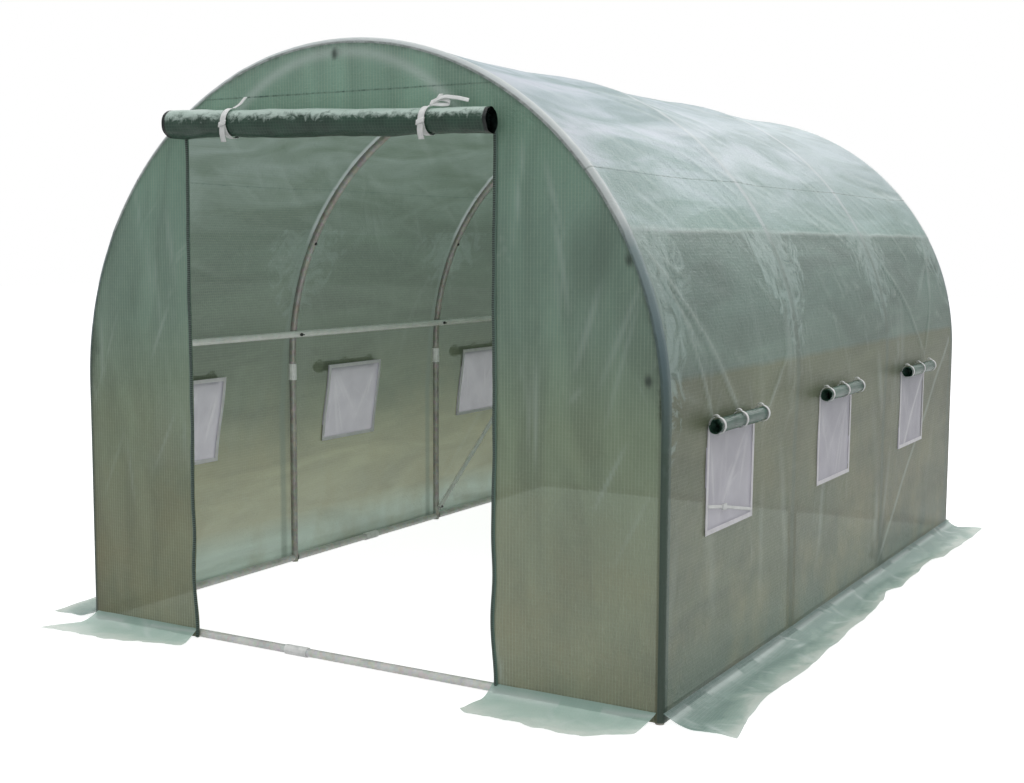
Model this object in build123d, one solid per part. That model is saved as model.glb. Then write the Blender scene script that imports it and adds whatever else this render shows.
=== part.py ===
from build123d import *
from math import asin, cos, degrees, pi, sin, sqrt
import os

# Polytunnel greenhouse: four steel hoops under one fabric-backed film cover, with a rolled-up door
# in the front wall and three screened windows along each side. Millimetres, +Z up, the door faces -Y,
# and the origin is on the ground at the middle of the tunnel.

# Frame
WIDTH = 2000.0  # between the axes of a hoop's two legs
BAY = 1000.0  # from hoop to hoop
BAYS = 3
LEG_HEIGHT = 749.0  # ground to the joint of a leg and its arch
STRAIGHT_RUN = 36.0  # the side tube of a hoop runs straight up from its leg, then bends into the arch
SHOULDER_ANGLE = 27.4  # where the side tube of a hoop meets the crown tube
TUBE_D = 25.0
TUBE_WALL = 1.2
BRACE_D = 19.0
BRACE_WALL = 1.0
TUBE_SIDES = 12  # a tube is a fine polygon, which keeps its faces few
PURLIN_RISE = 100.5  # above the spring line
BRACE_FOOT_HEIGHT = 60.0
BRACE_RISE = 40.0  # of its top end, above the spring line
BRACE_OVERRUN = 10.0  # how far each end runs on past its bolt

# Plastic sleeves where tubes join, and the black fasteners
SLEEVE_WALL = 2.5
COLLAR_LENGTH = 62.0
RAIL_SLEEVE_LENGTH = 80.0
FRONT_RAIL_JOINT_X = -185.0
BOLT_HEAD_D = 13.0
BOLT_HEAD_HEIGHT = 5.0
BOLT_HEAD_TAPER = 28.0
WING_SPAN = 22.0
WING_HEIGHT = 11.0
WING_THICKNESS = 3.0
WING_CORNER = 3.0
HUB_D = 12.0
HUB_HEIGHT = 6.0

# Cover
FILM = 2.0
SEAM_ANGLE = 39.2  # lengthwise seams between the sides and the roof
HEM_HEIGHT = 32.0  # where the walls end and the ground skirt turns outwards
SKIRT_WIDTH = 200.0

# Door
DOOR_LEFT_X = -565.0
DOOR_RIGHT_X = 505.0
DOOR_HEADER = 241.0  # from the crown of the arch down to the top of the doorway
DOOR_ROLL_LEFT_OVERHANG = 24.0
DOOR_ROLL_RIGHT_OVERHANG = 22.0
DOOR_ROLL_RISE = 12.0  # of its middle, above the top of the doorway
DOOR_ROLL_CORE_R = 6.0
DOOR_ROLL_TURNS = 9.5
DOOR_ROLL_PITCH = 4.1
DOOR_ZIP_WIDTH = 24.0
DOOR_ZIP_THICKNESS = 2.0
DOOR_TIE_X = (-350.0, 329.0)
DOOR_TIE_RISE = 76.0  # strap above the middle of the roll

# Windows
WINDOW_WIDTH = 340.0
WINDOW_HEIGHT = 287.0
WINDOW_DROP = 43.0  # of its top edge, below the spring line
WINDOW_SHIFT = -110.0  # towards the door from the middle of the bay
WINDOW_ROLL_RISE = 16.0  # of its middle, above the top of the opening
WINDOW_ROLL_LENGTH = 420.0
WINDOW_ROLL_CORE_R = 4.0
WINDOW_ROLL_TURNS = 4.0
WINDOW_ROLL_PITCH = 4.6
WINDOW_TIE_SPACING = 150.0
WINDOW_TIE_RISE = 52.0
SCREEN_HEM = 22.0
SCREEN_MESH = 1.2
SCREEN_HEM_THICKNESS = 2.4

# Straps
TIE_WIDTH = 20.0
TIE_THICKNESS = 1.6
TIE_STRIP_THICKNESS = 2.0

GAP = 0.3  # between round things that touch

# Worked out from the sizes above
ARCH_R = WIDTH / 2
SPRING_HEIGHT = LEG_HEIGHT + STRAIGHT_RUN
LENGTH = BAY * BAYS
HOOPS_Y = [BAY * i - LENGTH / 2 for i in range(BAYS + 1)]
TUBE_R = TUBE_D / 2
SLEEVE_R = TUBE_R + GAP + SLEEVE_WALL
RAIL_Z = SLEEVE_R
FILM_IN = TUBE_R + GAP + SLEEVE_WALL + GAP  # from a tube's axis to the inside of the cover
FILM_OUT = FILM_IN + FILM
WALL_X = ARCH_R + FILM_OUT
WALL_Y = LENGTH / 2 + FILM_OUT
PURLIN_R = ARCH_R - TUBE_D - GAP  # purlins run inside the hoops
PURLIN_ANGLE = degrees(asin(PURLIN_RISE / PURLIN_R))
BRACE_INSET = TUBE_R + GAP + BRACE_D / 2  # from a hoop's axis to a brace's
WINDOWS_Y = [(y + y_next) / 2 + WINDOW_SHIFT for y, y_next in zip(HOOPS_Y, HOOPS_Y[1:])]
WINDOW_TOP_Z = SPRING_HEIGHT - WINDOW_DROP
WINDOW_ROLL_Z = WINDOW_TOP_Z + WINDOW_ROLL_RISE
DOOR_HEIGHT = SPRING_HEIGHT + WALL_X - DOOR_HEADER
DOOR_ROLL_Z = DOOR_HEIGHT + DOOR_ROLL_RISE
DOOR_ROLL_R = DOOR_ROLL_CORE_R + DOOR_ROLL_TURNS * DOOR_ROLL_PITCH + FILM / 2
WINDOW_ROLL_R = WINDOW_ROLL_CORE_R + WINDOW_ROLL_TURNS * WINDOW_ROLL_PITCH + FILM / 2


def disc(radius):
    return RegularPolygon(radius, TUBE_SIDES)


def tube(start, end, diameter, wall):
    """A straight round tube from one point to another."""
    start, end = Vector(*start), Vector(*end)
    run = end - start
    section = disc(diameter / 2) - disc(diameter / 2 - wall)
    return Plane(origin=start, z_dir=run) * extrude(section, run.length)


def arch_tube(y, start_angle, end_angle, straight=0.0):
    """A stretch of a hoop's arch on the right-hand side, angles counted up from the spring line.

    Its bore is closed at both ends by the tubes that it joins, so it is left solid.
    """
    section = Pos(ARCH_R, 0) * disc(TUBE_R)
    turned = revolve(section, Axis((0, 0, 0), (0, -1, 0)), end_angle - start_angle)
    if straight:
        turned += extrude(section, -straight)
    return Pos(0, y, SPRING_HEIGHT) * Rotation(0, -start_angle, 0) * turned


def on_arch(radius, angle, y):
    """Place whose +X points outwards from the arch, at an angle up from the right spring line."""
    return Pos(0, y, SPRING_HEIGHT) * Rotation(0, -angle, 0) * Pos(radius, 0, 0)


def sleeve(start, end):
    """Plastic sleeve round a tube joint."""
    return tube(start, end, 2 * SLEEVE_R, SLEEVE_WALL)


def mirrored(solids):
    return [mirror(solid, about=Plane.YZ) for solid in solids]


def along_y(sketch, y_from, y_to):
    """A profile drawn across the tunnel, run from one y to another."""
    return Pos(0, y_from, 0) * extrude(Plane.XZ * sketch, -(y_to - y_from))


def ring_sector(r_in, r_out, start_angle, end_angle):
    outer = CenterArc((0, 0), r_out, start_angle, end_angle - start_angle)
    inner = CenterArc((0, 0), r_in, start_angle, end_angle - start_angle)
    return make_face([outer, inner, Line(outer @ 0, inner @ 0), Line(outer @ 1, inner @ 1)])


# Hoops

def legs():
    return [tube((ARCH_R, y, 0), (ARCH_R, y, LEG_HEIGHT - GAP), TUBE_D, TUBE_WALL) for y in HOOPS_Y]


def leg_collars():
    half = COLLAR_LENGTH / 2
    return [
        sleeve((ARCH_R, y, LEG_HEIGHT - 1.3 * half), (ARCH_R, y, LEG_HEIGHT + 0.7 * half)) for y in HOOPS_Y
    ]


def shoulder_tubes():
    return [arch_tube(y, 0, SHOULDER_ANGLE, STRAIGHT_RUN) for y in HOOPS_Y]


def crown_tubes():
    joint = degrees(GAP / ARCH_R)
    return [arch_tube(y, SHOULDER_ANGLE + joint, 90 - joint) for y in HOOPS_Y]


# Purlins, base rails and braces

def purlin(angle):
    centre = on_arch(PURLIN_R, angle, 0).position
    end_y = LENGTH / 2 + TUBE_R
    return tube((centre.X, -end_y, centre.Z), (centre.X, end_y, centre.Z), TUBE_D, TUBE_WALL)


def side_base_rail():
    """One tube to a bay, and two where the rail is joined at the middle of the tunnel."""
    ends = []
    for y, y_next in zip(HOOPS_Y, HOOPS_Y[1:]):
        near, far = y + TUBE_R + GAP, y_next - TUBE_R - GAP
        if near < 0 < far:
            ends += [(near, -GAP / 2), (GAP / 2, far)]
        else:
            ends.append((near, far))
    return [tube((ARCH_R, a, RAIL_Z), (ARCH_R, b, RAIL_Z), TUBE_D, TUBE_WALL) for a, b in ends]


def end_base_rail(y, joint_x):
    reach = ARCH_R - TUBE_R - GAP
    ends = [(-reach, joint_x - GAP / 2), (joint_x + GAP / 2, reach)]
    return [tube((a, y, RAIL_Z), (b, y, RAIL_Z), TUBE_D, TUBE_WALL) for a, b in ends]


def base_rail_sleeves():
    half = RAIL_SLEEVE_LENGTH / 2
    front, rear = HOOPS_Y[0], HOOPS_Y[-1]
    side = sleeve((ARCH_R, -half, RAIL_Z), (ARCH_R, half, RAIL_Z))
    return [
        side,
        mirror(side, about=Plane.YZ),
        sleeve((FRONT_RAIL_JOINT_X - half, front, RAIL_Z), (FRONT_RAIL_JOINT_X + half, front, RAIL_Z)),
        sleeve((-half, rear, RAIL_Z), (half, rear, RAIL_Z)),
    ]


def brace_line():
    """From the foot of the third hoop to the rear hoop, just above its spring line."""
    arch_x = sqrt(ARCH_R**2 - (BRACE_RISE + BRACE_OVERRUN + TUBE_R) ** 2)
    foot = Vector(ARCH_R - BRACE_INSET, HOOPS_Y[-2], BRACE_FOOT_HEIGHT)
    top = Vector(arch_x - BRACE_INSET, HOOPS_Y[-1], SPRING_HEIGHT + BRACE_RISE)
    return foot, top


def brace():
    foot, top = brace_line()
    overrun = (top - foot).normalized() * BRACE_OVERRUN
    return tube(tuple(foot - overrun), tuple(top + overrun), BRACE_D, BRACE_WALL)


# Fasteners, each drawn with its seat at x = 0 and its head towards -X

def bolt_head():
    head = extrude(RegularPolygon(BOLT_HEAD_D / 2, 8), BOLT_HEAD_HEIGHT, taper=BOLT_HEAD_TAPER)
    return Rotation(0, -90, 0) * head


def wing_screw():
    """A hub with a flat wing across it, along the tunnel."""
    hub = Rotation(0, -90, 0) * extrude(RegularPolygon(HUB_D / 2, 8), HUB_HEIGHT)
    wing = Rectangle(WING_HEIGHT, WING_SPAN)
    wing = chamfer(wing.vertices(), WING_CORNER)
    return hub + Pos(-HUB_HEIGHT, 0, 0) * extrude(wing, WING_THICKNESS / 2, both=True)


def frame_bolts():
    solids = []
    purlin_seat = PURLIN_R - TUBE_R - GAP
    hoop_seat = ARCH_R - TUBE_R - GAP
    for y in HOOPS_Y:
        solids.append(on_arch(purlin_seat, 90, y) * wing_screw())
        side = [
            on_arch(purlin_seat, PURLIN_ANGLE, y) * wing_screw(),
            on_arch(hoop_seat, SHOULDER_ANGLE - degrees(BOLT_HEAD_D / ARCH_R), y) * bolt_head(),
        ]
        solids += side + mirrored(side)
    foot, top = brace_line()
    ends = [Pos(point.X - BRACE_D / 2 - GAP, point.Y, point.Z) * bolt_head() for point in (foot, top)]
    return solids + ends + mirrored(ends)


# Cover

def side_wall():
    """One side of the cover, with its three window openings."""
    height = SPRING_HEIGHT - HEM_HEIGHT
    wall = Pos(WALL_X - FILM / 2, 0, HEM_HEIGHT + height / 2) * Box(FILM, 2 * WALL_Y, height)
    for y in WINDOWS_Y:
        wall -= Pos(WALL_X, y, WINDOW_TOP_Z - WINDOW_HEIGHT / 2) * Box(8 * FILM, WINDOW_WIDTH, WINDOW_HEIGHT)
    return wall


def vault(start_angle, end_angle):
    sector = ring_sector(ARCH_R + FILM_IN, WALL_X, start_angle, end_angle)
    return along_y(Pos(0, SPRING_HEIGHT) * sector, -WALL_Y, WALL_Y)


def end_profile():
    """Outline of an end wall: straight sides up to the spring line, then the arch."""
    radius = ARCH_R + FILM_IN - GAP
    height = SPRING_HEIGHT - HEM_HEIGHT
    return Pos(0, HEM_HEIGHT + height / 2) * Rectangle(2 * radius, height) + Pos(0, SPRING_HEIGHT) * Circle(radius)


def end_wall(x_from, x_to, z_from, y):
    """The part of an end wall between two x, above a height, with its inner face at y."""
    tall = SPRING_HEIGHT + WALL_X - z_from
    window = Pos((x_from + x_to) / 2, z_from + tall / 2) * Rectangle(x_to - x_from, tall)
    return along_y(end_profile() & window, y, y + FILM)


def skirt_profile():
    """Section of the ground skirt: down from the wall, round, and out along the ground."""
    bend_centre = (HEM_HEIGHT, HEM_HEIGHT)
    edge_x = FILM + SKIRT_WIDTH
    upper = CenterArc(bend_centre, HEM_HEIGHT - FILM, 180, 90)
    lower = CenterArc(bend_centre, HEM_HEIGHT, 180, 90)
    rim = Polyline(upper @ 1, (edge_x, FILM), (edge_x, 0), lower @ 1)
    return make_face([Line(lower @ 0, upper @ 0), upper, rim, lower])


def side_skirt():
    return along_y(Pos(WALL_X - FILM, 0) * skirt_profile(), -WALL_Y, WALL_Y)


def end_skirt(x_from, x_to):
    """Skirt of the front wall, between two x."""
    run = extrude(Plane.YZ * mirror(skirt_profile(), about=Plane.YZ), x_to - x_from)
    return Pos(x_from, -WALL_Y + FILM, 0) * run


# Rolled sheets and their ties, drawn against a wall at y = 0 with the roll on its -Y side

def rolled_sheet(core_r, turns, pitch, width):
    """A sheet rolled up round the X axis in an even spiral, whose loose end lies towards the wall."""
    steps = round(turns * TUBE_SIDES)
    inner, outer = [], []
    for step in range(steps + 1):
        angle = 2 * pi * (step - steps) / TUBE_SIDES
        radius = core_r + pitch * step / TUBE_SIDES
        inner.append(((radius - FILM / 2) * cos(angle), (radius - FILM / 2) * sin(angle)))
        outer.append(((radius + FILM / 2) * cos(angle), (radius + FILM / 2) * sin(angle)))
    section = make_face(Polyline(*outer, *reversed(inner), close=True))
    return extrude(Plane.YZ * section, width / 2, both=True)


def tie(roll_r, rise):
    """A strap round a roll, with the strip that holds it to the wall above."""
    out_r = roll_r + GAP + TIE_THICKNESS
    loop = disc(out_r) - disc(roll_r + GAP)
    strip = Pos(out_r, rise / 2) * Rectangle(TIE_STRIP_THICKNESS, rise)
    return extrude(Plane.YZ * (loop + strip), TIE_WIDTH / 2, both=True)


def roll_stand_off(roll_r):
    """From the wall to the middle of a roll held by a tie."""
    return roll_r + GAP + TIE_THICKNESS + TIE_STRIP_THICKNESS / 2


def door_roll():
    left_x = DOOR_LEFT_X - DOOR_ROLL_LEFT_OVERHANG
    right_x = DOOR_RIGHT_X + DOOR_ROLL_RIGHT_OVERHANG
    place = Pos((left_x + right_x) / 2, -WALL_Y - roll_stand_off(DOOR_ROLL_R), DOOR_ROLL_Z)
    return place * rolled_sheet(DOOR_ROLL_CORE_R, DOOR_ROLL_TURNS, DOOR_ROLL_PITCH, right_x - left_x)


def door_ties():
    y = -WALL_Y - roll_stand_off(DOOR_ROLL_R)
    return [Pos(x, y, DOOR_ROLL_Z) * tie(DOOR_ROLL_R, DOOR_TIE_RISE) for x in DOOR_TIE_X]


def door_zip(x_from):
    height = DOOR_HEIGHT - HEM_HEIGHT
    size = (DOOR_ZIP_WIDTH, DOOR_ZIP_THICKNESS, height)
    return Pos(x_from + DOOR_ZIP_WIDTH / 2, -WALL_Y - DOOR_ZIP_THICKNESS / 2, HEM_HEIGHT + height / 2) * Box(*size)


def window_place(y, z):
    """Place on the right wall whose -Y points outwards."""
    return Pos(WALL_X, y, z) * Rotation(0, 0, 90)


def window_rolls():
    roll = rolled_sheet(WINDOW_ROLL_CORE_R, WINDOW_ROLL_TURNS, WINDOW_ROLL_PITCH, WINDOW_ROLL_LENGTH)
    roll = Pos(0, -roll_stand_off(WINDOW_ROLL_R), 0) * roll
    return [window_place(y, WINDOW_ROLL_Z) * roll for y in WINDOWS_Y]


def window_ties():
    one = Pos(0, -roll_stand_off(WINDOW_ROLL_R), 0) * tie(WINDOW_ROLL_R, WINDOW_TIE_RISE)
    steps = (-WINDOW_TIE_SPACING, 0, WINDOW_TIE_SPACING)
    return [window_place(y, WINDOW_ROLL_Z) * Pos(step, 0, 0) * one for y in WINDOWS_Y for step in steps]


def window_screens():
    """Insect mesh behind each window, with a thicker hem all round."""
    mesh = Box(SCREEN_MESH, WINDOW_WIDTH, WINDOW_HEIGHT)
    hem = Box(SCREEN_HEM_THICKNESS, WINDOW_WIDTH + 2 * SCREEN_HEM, WINDOW_HEIGHT + 2 * SCREEN_HEM)
    hem -= Box(4 * SCREEN_HEM_THICKNESS, WINDOW_WIDTH, WINDOW_HEIGHT)
    x = ARCH_R + FILM_IN - GAP - SCREEN_HEM_THICKNESS / 2
    return [Pos(x, y, WINDOW_TOP_Z - WINDOW_HEIGHT / 2) * (hem + mesh) for y in WINDOWS_Y]


# Every node and its solids

def nodes():
    panel_x = ARCH_R + FILM_IN
    front_y, rear_y = -WALL_Y, WALL_Y - FILM
    right = {
        "legs": legs(),
        "leg_collars": leg_collars(),
        "shoulder_tubes": shoulder_tubes(),
        "crown_tubes": crown_tubes(),
        "purlin": [purlin(PURLIN_ANGLE)],
        "base_rail": side_base_rail(),
        "brace": [brace()],
        "side_wall": [side_wall()],
        "shoulder_cover": [vault(0, SEAM_ANGLE)],
        "skirt": [side_skirt()],
        "window_rolls": window_rolls(),
        "window_ties": window_ties(),
        "window_screens": window_screens(),
    }
    made = {}
    for name, solids in right.items():
        made["right_" + name] = solids
        made["left_" + name] = mirrored(solids)
    rear_skirt = mirror(end_skirt(-panel_x + GAP, panel_x - GAP), about=Plane.XZ)
    made |= {
        "ridge_purlin": [purlin(90)],
        "front_base_rail": end_base_rail(HOOPS_Y[0], FRONT_RAIL_JOINT_X),
        "rear_base_rail": end_base_rail(HOOPS_Y[-1], 0),
        "base_rail_sleeves": base_rail_sleeves(),
        "frame_bolts": frame_bolts(),
        "roof_cover": [vault(SEAM_ANGLE, 180 - SEAM_ANGLE)],
        "rear_wall": [end_wall(-panel_x, panel_x, HEM_HEIGHT, rear_y)],
        "front_wall_left": [end_wall(-panel_x, DOOR_LEFT_X, HEM_HEIGHT, front_y)],
        "front_wall_right": [end_wall(DOOR_RIGHT_X, panel_x, HEM_HEIGHT, front_y)],
        "front_wall_top": [end_wall(DOOR_LEFT_X, DOOR_RIGHT_X, DOOR_HEIGHT, front_y)],
        "front_skirt_left": [end_skirt(-panel_x + GAP, DOOR_LEFT_X)],
        "front_skirt_right": [end_skirt(DOOR_RIGHT_X, panel_x - GAP)],
        "rear_skirt": [rear_skirt],
        "door_roll": [door_roll()],
        "door_ties": door_ties(),
        "door_zip_left": [door_zip(DOOR_LEFT_X - DOOR_ZIP_WIDTH)],
        "door_zip_right": [door_zip(DOOR_RIGHT_X)],
    }
    return made


os.makedirs("parts", exist_ok=True)
for name, solids in nodes().items():
    export_step(Compound(children=[Part(solid.wrapped) for solid in solids]), f"parts/{name}.step")
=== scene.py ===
# %% [markdown]
# # Polytunnel greenhouse
# A walk-in garden tunnel: four galvanised hoops under a cover of green woven film, a front wall whose door
# is rolled up, three screened windows along each side, and a skirt of film that lies on the ground.
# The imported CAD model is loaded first. It is the fixed frame that every piece is made around, in metres,
# with the door facing -Y and the ground at Z = 0.

# %% Load the frame
import math

import bpy
import numpy as np
from mathutils import Matrix, Vector


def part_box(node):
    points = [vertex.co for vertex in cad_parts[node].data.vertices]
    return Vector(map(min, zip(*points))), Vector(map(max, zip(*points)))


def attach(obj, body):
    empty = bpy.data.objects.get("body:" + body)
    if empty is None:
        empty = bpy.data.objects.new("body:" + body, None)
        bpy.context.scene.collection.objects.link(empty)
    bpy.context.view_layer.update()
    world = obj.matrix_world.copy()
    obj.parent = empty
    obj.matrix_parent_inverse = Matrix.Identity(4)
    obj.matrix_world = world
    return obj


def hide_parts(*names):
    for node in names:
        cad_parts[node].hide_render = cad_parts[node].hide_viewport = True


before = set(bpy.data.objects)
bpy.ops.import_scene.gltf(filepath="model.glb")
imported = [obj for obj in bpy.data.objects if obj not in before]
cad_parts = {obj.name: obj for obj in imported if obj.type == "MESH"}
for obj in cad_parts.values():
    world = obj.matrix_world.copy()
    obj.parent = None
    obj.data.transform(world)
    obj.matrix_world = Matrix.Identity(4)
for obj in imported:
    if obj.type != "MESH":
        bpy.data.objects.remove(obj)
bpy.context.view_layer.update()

# %% [markdown]
# ## Camera
# The photograph was taken from in front and to the right of the tunnel, at about head height. A camera was
# fitted to the hoops and the doorway, which gives its place, its three turns and its lens.

# %% Camera
EYE = Vector((2.453, -4.763, 1.227))
YAW, PITCH, ROLL = math.radians(-30.18), math.radians(-5.90), math.radians(0.23)
LENS_MM = 49.86

ahead = Vector((math.sin(YAW) * math.cos(PITCH), math.cos(YAW) * math.cos(PITCH), math.sin(PITCH)))
level = Vector((math.cos(YAW), -math.sin(YAW), 0))
upright = level.cross(ahead)
right = level * math.cos(ROLL) + upright * math.sin(ROLL)
up = upright * math.cos(ROLL) - level * math.sin(ROLL)
camera_data = bpy.data.cameras.new("camera")
camera_data.lens = LENS_MM
camera_data.sensor_width = 36
camera = bpy.data.objects.new("camera", camera_data)
camera.matrix_world = Matrix.Translation(EYE) @ Matrix((right, up, -ahead)).transposed().to_4x4()
bpy.context.collection.objects.link(camera)
bpy.context.scene.camera = camera
bpy.context.scene.view_settings.view_transform = "Standard"
print("camera looks along", [round(value, 3) for value in ahead])

# %% [markdown]
# ## Helpers for materials
# Colours are written as sRGB hex values, as a paint chart gives them, and Blender wants linear light.
# One function adds a node: its settings by name, its inputs as numbers, colours or another node's output.

# %% Colours and nodes
def linear(hex_colour):
    values = [int(hex_colour[i:i + 2], 16) / 255 for i in (1, 3, 5)]
    return tuple(v / 12.92 if v <= 0.04045 else ((v + 0.055) / 1.055) ** 2.4 for v in values) + (1.0,)


def add_node(material, kind, inputs=None, stops=None, **settings):
    """inputs: socket -> number, hex colour, output socket, or node, which gives its first output in use.

    stops: (place, hex) of a colour ramp.
    """
    tree = material.node_tree
    made = tree.nodes.new("ShaderNode" + kind)
    for name, value in settings.items():
        setattr(made, name, value)
    for socket, value in (inputs or {}).items():
        if isinstance(value, bpy.types.Node):
            value = next(output for output in value.outputs if output.enabled)
        if isinstance(value, bpy.types.NodeSocket):
            tree.links.new(value, made.inputs[socket])
        else:
            made.inputs[socket].default_value = linear(value) if isinstance(value, str) else value
    if stops:
        ramp = made.color_ramp.elements
        while len(ramp) < len(stops):
            ramp.new(0.5)
        for element, (place, colour) in zip(ramp, stops):
            element.position = place
            element.color = linear(colour)
    return made


def new_material(name):
    material = bpy.data.materials.new(name)
    material.use_nodes = True
    material.node_tree.nodes.clear()
    return material


def close_material(material, shader):
    add_node(material, "OutputMaterial", {"Surface": shader})
    print("material", material.name, "has", len(material.node_tree.nodes), "nodes")
    return material


# %% [markdown]
# ## Stage and light
# The photograph is a cut-out on white. The floor and the world show white to the camera, to glossy rays and
# to rays that pass through film, while what they send to the object is plain studio light: an even grey
# world, one wide soft lamp overhead like a bright cloudy sky, and one behind that gives the roof its sheen.
# A weak one inside the tunnel stands for the light that comes back from the white studio through the doorway.

# %% Floor and world
def reads_as_background(material):
    """1 for the camera, a mirror ray or a ray through film, 0 for light that falls on the object."""
    path = add_node(material, "LightPath")
    seen = add_node(material, "Math", {0: path.outputs["Is Camera Ray"], 1: path.outputs["Is Glossy Ray"]},
                    operation="MAXIMUM")
    return add_node(material, "Math", {0: seen, 1: path.outputs["Is Transmission Ray"]},
                    operation="MAXIMUM")


FLOOR_GREY = 0.62
floor_material = new_material("studio_floor_paint")
lift = add_node(floor_material, "Math", {0: reads_as_background(floor_material), 1: 0.86},
                operation="MULTIPLY")
paint = add_node(floor_material, "BsdfDiffuse", {"Color": (FLOOR_GREY, FLOOR_GREY, FLOOR_GREY, 1)})
glow = add_node(floor_material, "Emission", {"Strength": lift})
both = add_node(floor_material, "AddShader", {0: paint, 1: glow})
close_material(floor_material, both)

bpy.ops.mesh.primitive_plane_add(size=60, location=(0, 0, -0.001))
floor = bpy.context.object
floor.name = "studio_floor"
floor.data.materials.append(floor_material)
bpy.ops.object.transform_apply(location=True, rotation=True, scale=True)

WORLD_GREY = 0.61
world = bpy.data.worlds.new("studio_world")
bpy.context.scene.world = world
world.use_nodes = True
world.node_tree.nodes.clear()
even = add_node(world, "Background", {"Color": (1, 1, 1, 1), "Strength": WORLD_GREY})
white = add_node(world, "Background", {"Color": (1, 1, 1, 1), "Strength": 1.0})
backdrop = add_node(world, "MixShader", {0: reads_as_background(world), 1: even, 2: white})
add_node(world, "OutputWorld", {"Surface": backdrop})

# %% Lamps
def soft_lamp(name, place, aim, size, watts):
    lamp_data = bpy.data.lights.new(name, "AREA")
    lamp_data.shape = "RECTANGLE"
    lamp_data.size, lamp_data.size_y = size
    lamp_data.energy = watts
    lamp = bpy.data.objects.new(name, lamp_data)
    lamp.location = place
    lamp.rotation_euler = (Vector(aim) - Vector(place)).to_track_quat("-Z", "Y").to_euler()
    lamp.visible_camera = False
    bpy.context.collection.objects.link(lamp)
    print(name, watts, "W,", size, "m")


soft_lamp("overhead_lamp", (0.3, -0.4, 4.6), (0, 0, 0.8), (5.0, 5.0), 110)
soft_lamp("rear_lamp", (1.2, 6.5, 4.6), (0, 0.3, 1.2), (6.0, 2.6), 110)
soft_lamp("inner_lamp", (0.78, -1.2, 0.75), (-1.0, 0.35, 0.75), (0.3, 0.7), 5)

# %% [markdown]
# ## Size of the cover
# The cover is one long sheet, sewn from three widths of film: up one side, over the roof and down the other.
# A point of it is named by two lengths on the flat sheet, along the tunnel and round its girth, so folds,
# seams and threads can all be laid out flat, as they are on a cutting table.

# %% Shape of the cover
ARCH_R = 1.0  # of the hoops' axis
SPRING_Z = 0.785
HALF_LENGTH = 1.5
TUBE_R = 0.0125
STAND_OFF = 0.0166  # from a tube's axis to the film
HEM_Z = 0.006  # the walls reach the ground, behind the skirt
HOOPS_Y = (-1.5, -0.5, 0.5, 1.5)
FILM_R = ARCH_R + STAND_OFF
LEG_RUN = SPRING_Z - HEM_Z
ARCH_RUN = math.pi * FILM_R
GIRTH = 2 * LEG_RUN + ARCH_RUN
WRAP = math.pi / 2 * STAND_OFF  # the film's ends turn a quarter round the end hoops
WINDOWS_Y = {"right": (-1.08, -0.14, 0.85), "left": (-1.07, -0.11, 0.89)}
WINDOW_LEAN = {"right": 0.03, "left": 0.25}  # how far a window leans towards the rear for each metre up
WINDOW_W, WINDOW_TOP, WINDOW_BOTTOM = 0.34, 0.742, 0.455
JOINT_DEGREES = 27.4
JOINT_ANGLE = math.radians(JOINT_DEGREES)  # where a hoop's side tube meets its crown tube
SEAM_ANGLE = math.radians(39.2)
JOINT_RUN = LEG_RUN + JOINT_ANGLE * FILM_R
SEAM_RUN = LEG_RUN + SEAM_ANGLE * FILM_R
print(f"flat cover {2 * (HALF_LENGTH + WRAP):.3f} x {GIRTH:.3f} m")


def window_shift(y, z, word):
    """The pull of the straps skews the film round the windows, so that they lean."""
    away = np.min([np.abs(y - window) for window in WINDOWS_Y[word]], axis=0)
    rise = z - (WINDOW_TOP + WINDOW_BOTTOM) / 2
    return WINDOW_LEAN[word] * rise * np.exp(-(rise / 0.30) ** 2) * np.exp(-(away / 0.34) ** 4)


def cover_point(along, girth, lift):
    """Where a point of the flat cover is, lift metres out from the taut film."""
    turn = np.clip(np.abs(along) - HALF_LENGTH, 0, WRAP) / STAND_OFF
    radius = ARCH_R + (STAND_OFF + lift) * np.cos(turn)
    y = np.sign(along) * (np.minimum(np.abs(along), HALF_LENGTH) + (STAND_OFF + lift) * np.sin(turn))
    angle = np.clip((girth - LEG_RUN) / FILM_R, 0, math.pi)
    z = SPRING_Z + radius * np.sin(angle)
    z = np.where(girth < LEG_RUN, HEM_Z + girth, z)
    z = np.where(girth > LEG_RUN + ARCH_RUN, HEM_Z + GIRTH - girth, z)
    shift = np.where(girth < GIRTH / 2, window_shift(y, z, "right"), window_shift(y, z, "left"))
    y = y + shift * np.clip((HALF_LENGTH - np.abs(y)) / 0.1, 0, 1)
    return np.stack([radius * np.cos(angle), y, z], axis=-1)


# %% [markdown]
# ## Sheets from a grid
# Every sheet starts as a flat grid primitive. Its rows and columns are set where the sheet has an edge, a
# window or a fold, and its points are then moved to their places in space. The flat lengths are kept as the
# UV map, in metres, so the weave of the material runs true to the threads however the sheet is bent.

# %% Grid sheets
def ticks(*runs):
    """Rising places from (start, step) pairs and a last stop, evenly spaced inside each run."""
    places = []
    for (start, step), (stop, _) in zip(runs, runs[1:]):
        count = max(1, math.ceil((stop - start) / step - 1e-6))
        places += [start + (stop - start) * i / count for i in range(count)]
    return np.array(places + [runs[-1][0]])


def clear_selection():
    if bpy.context.mode != "OBJECT":
        bpy.ops.object.mode_set(mode="OBJECT")
    bpy.ops.object.select_all(action="DESELECT")


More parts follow.
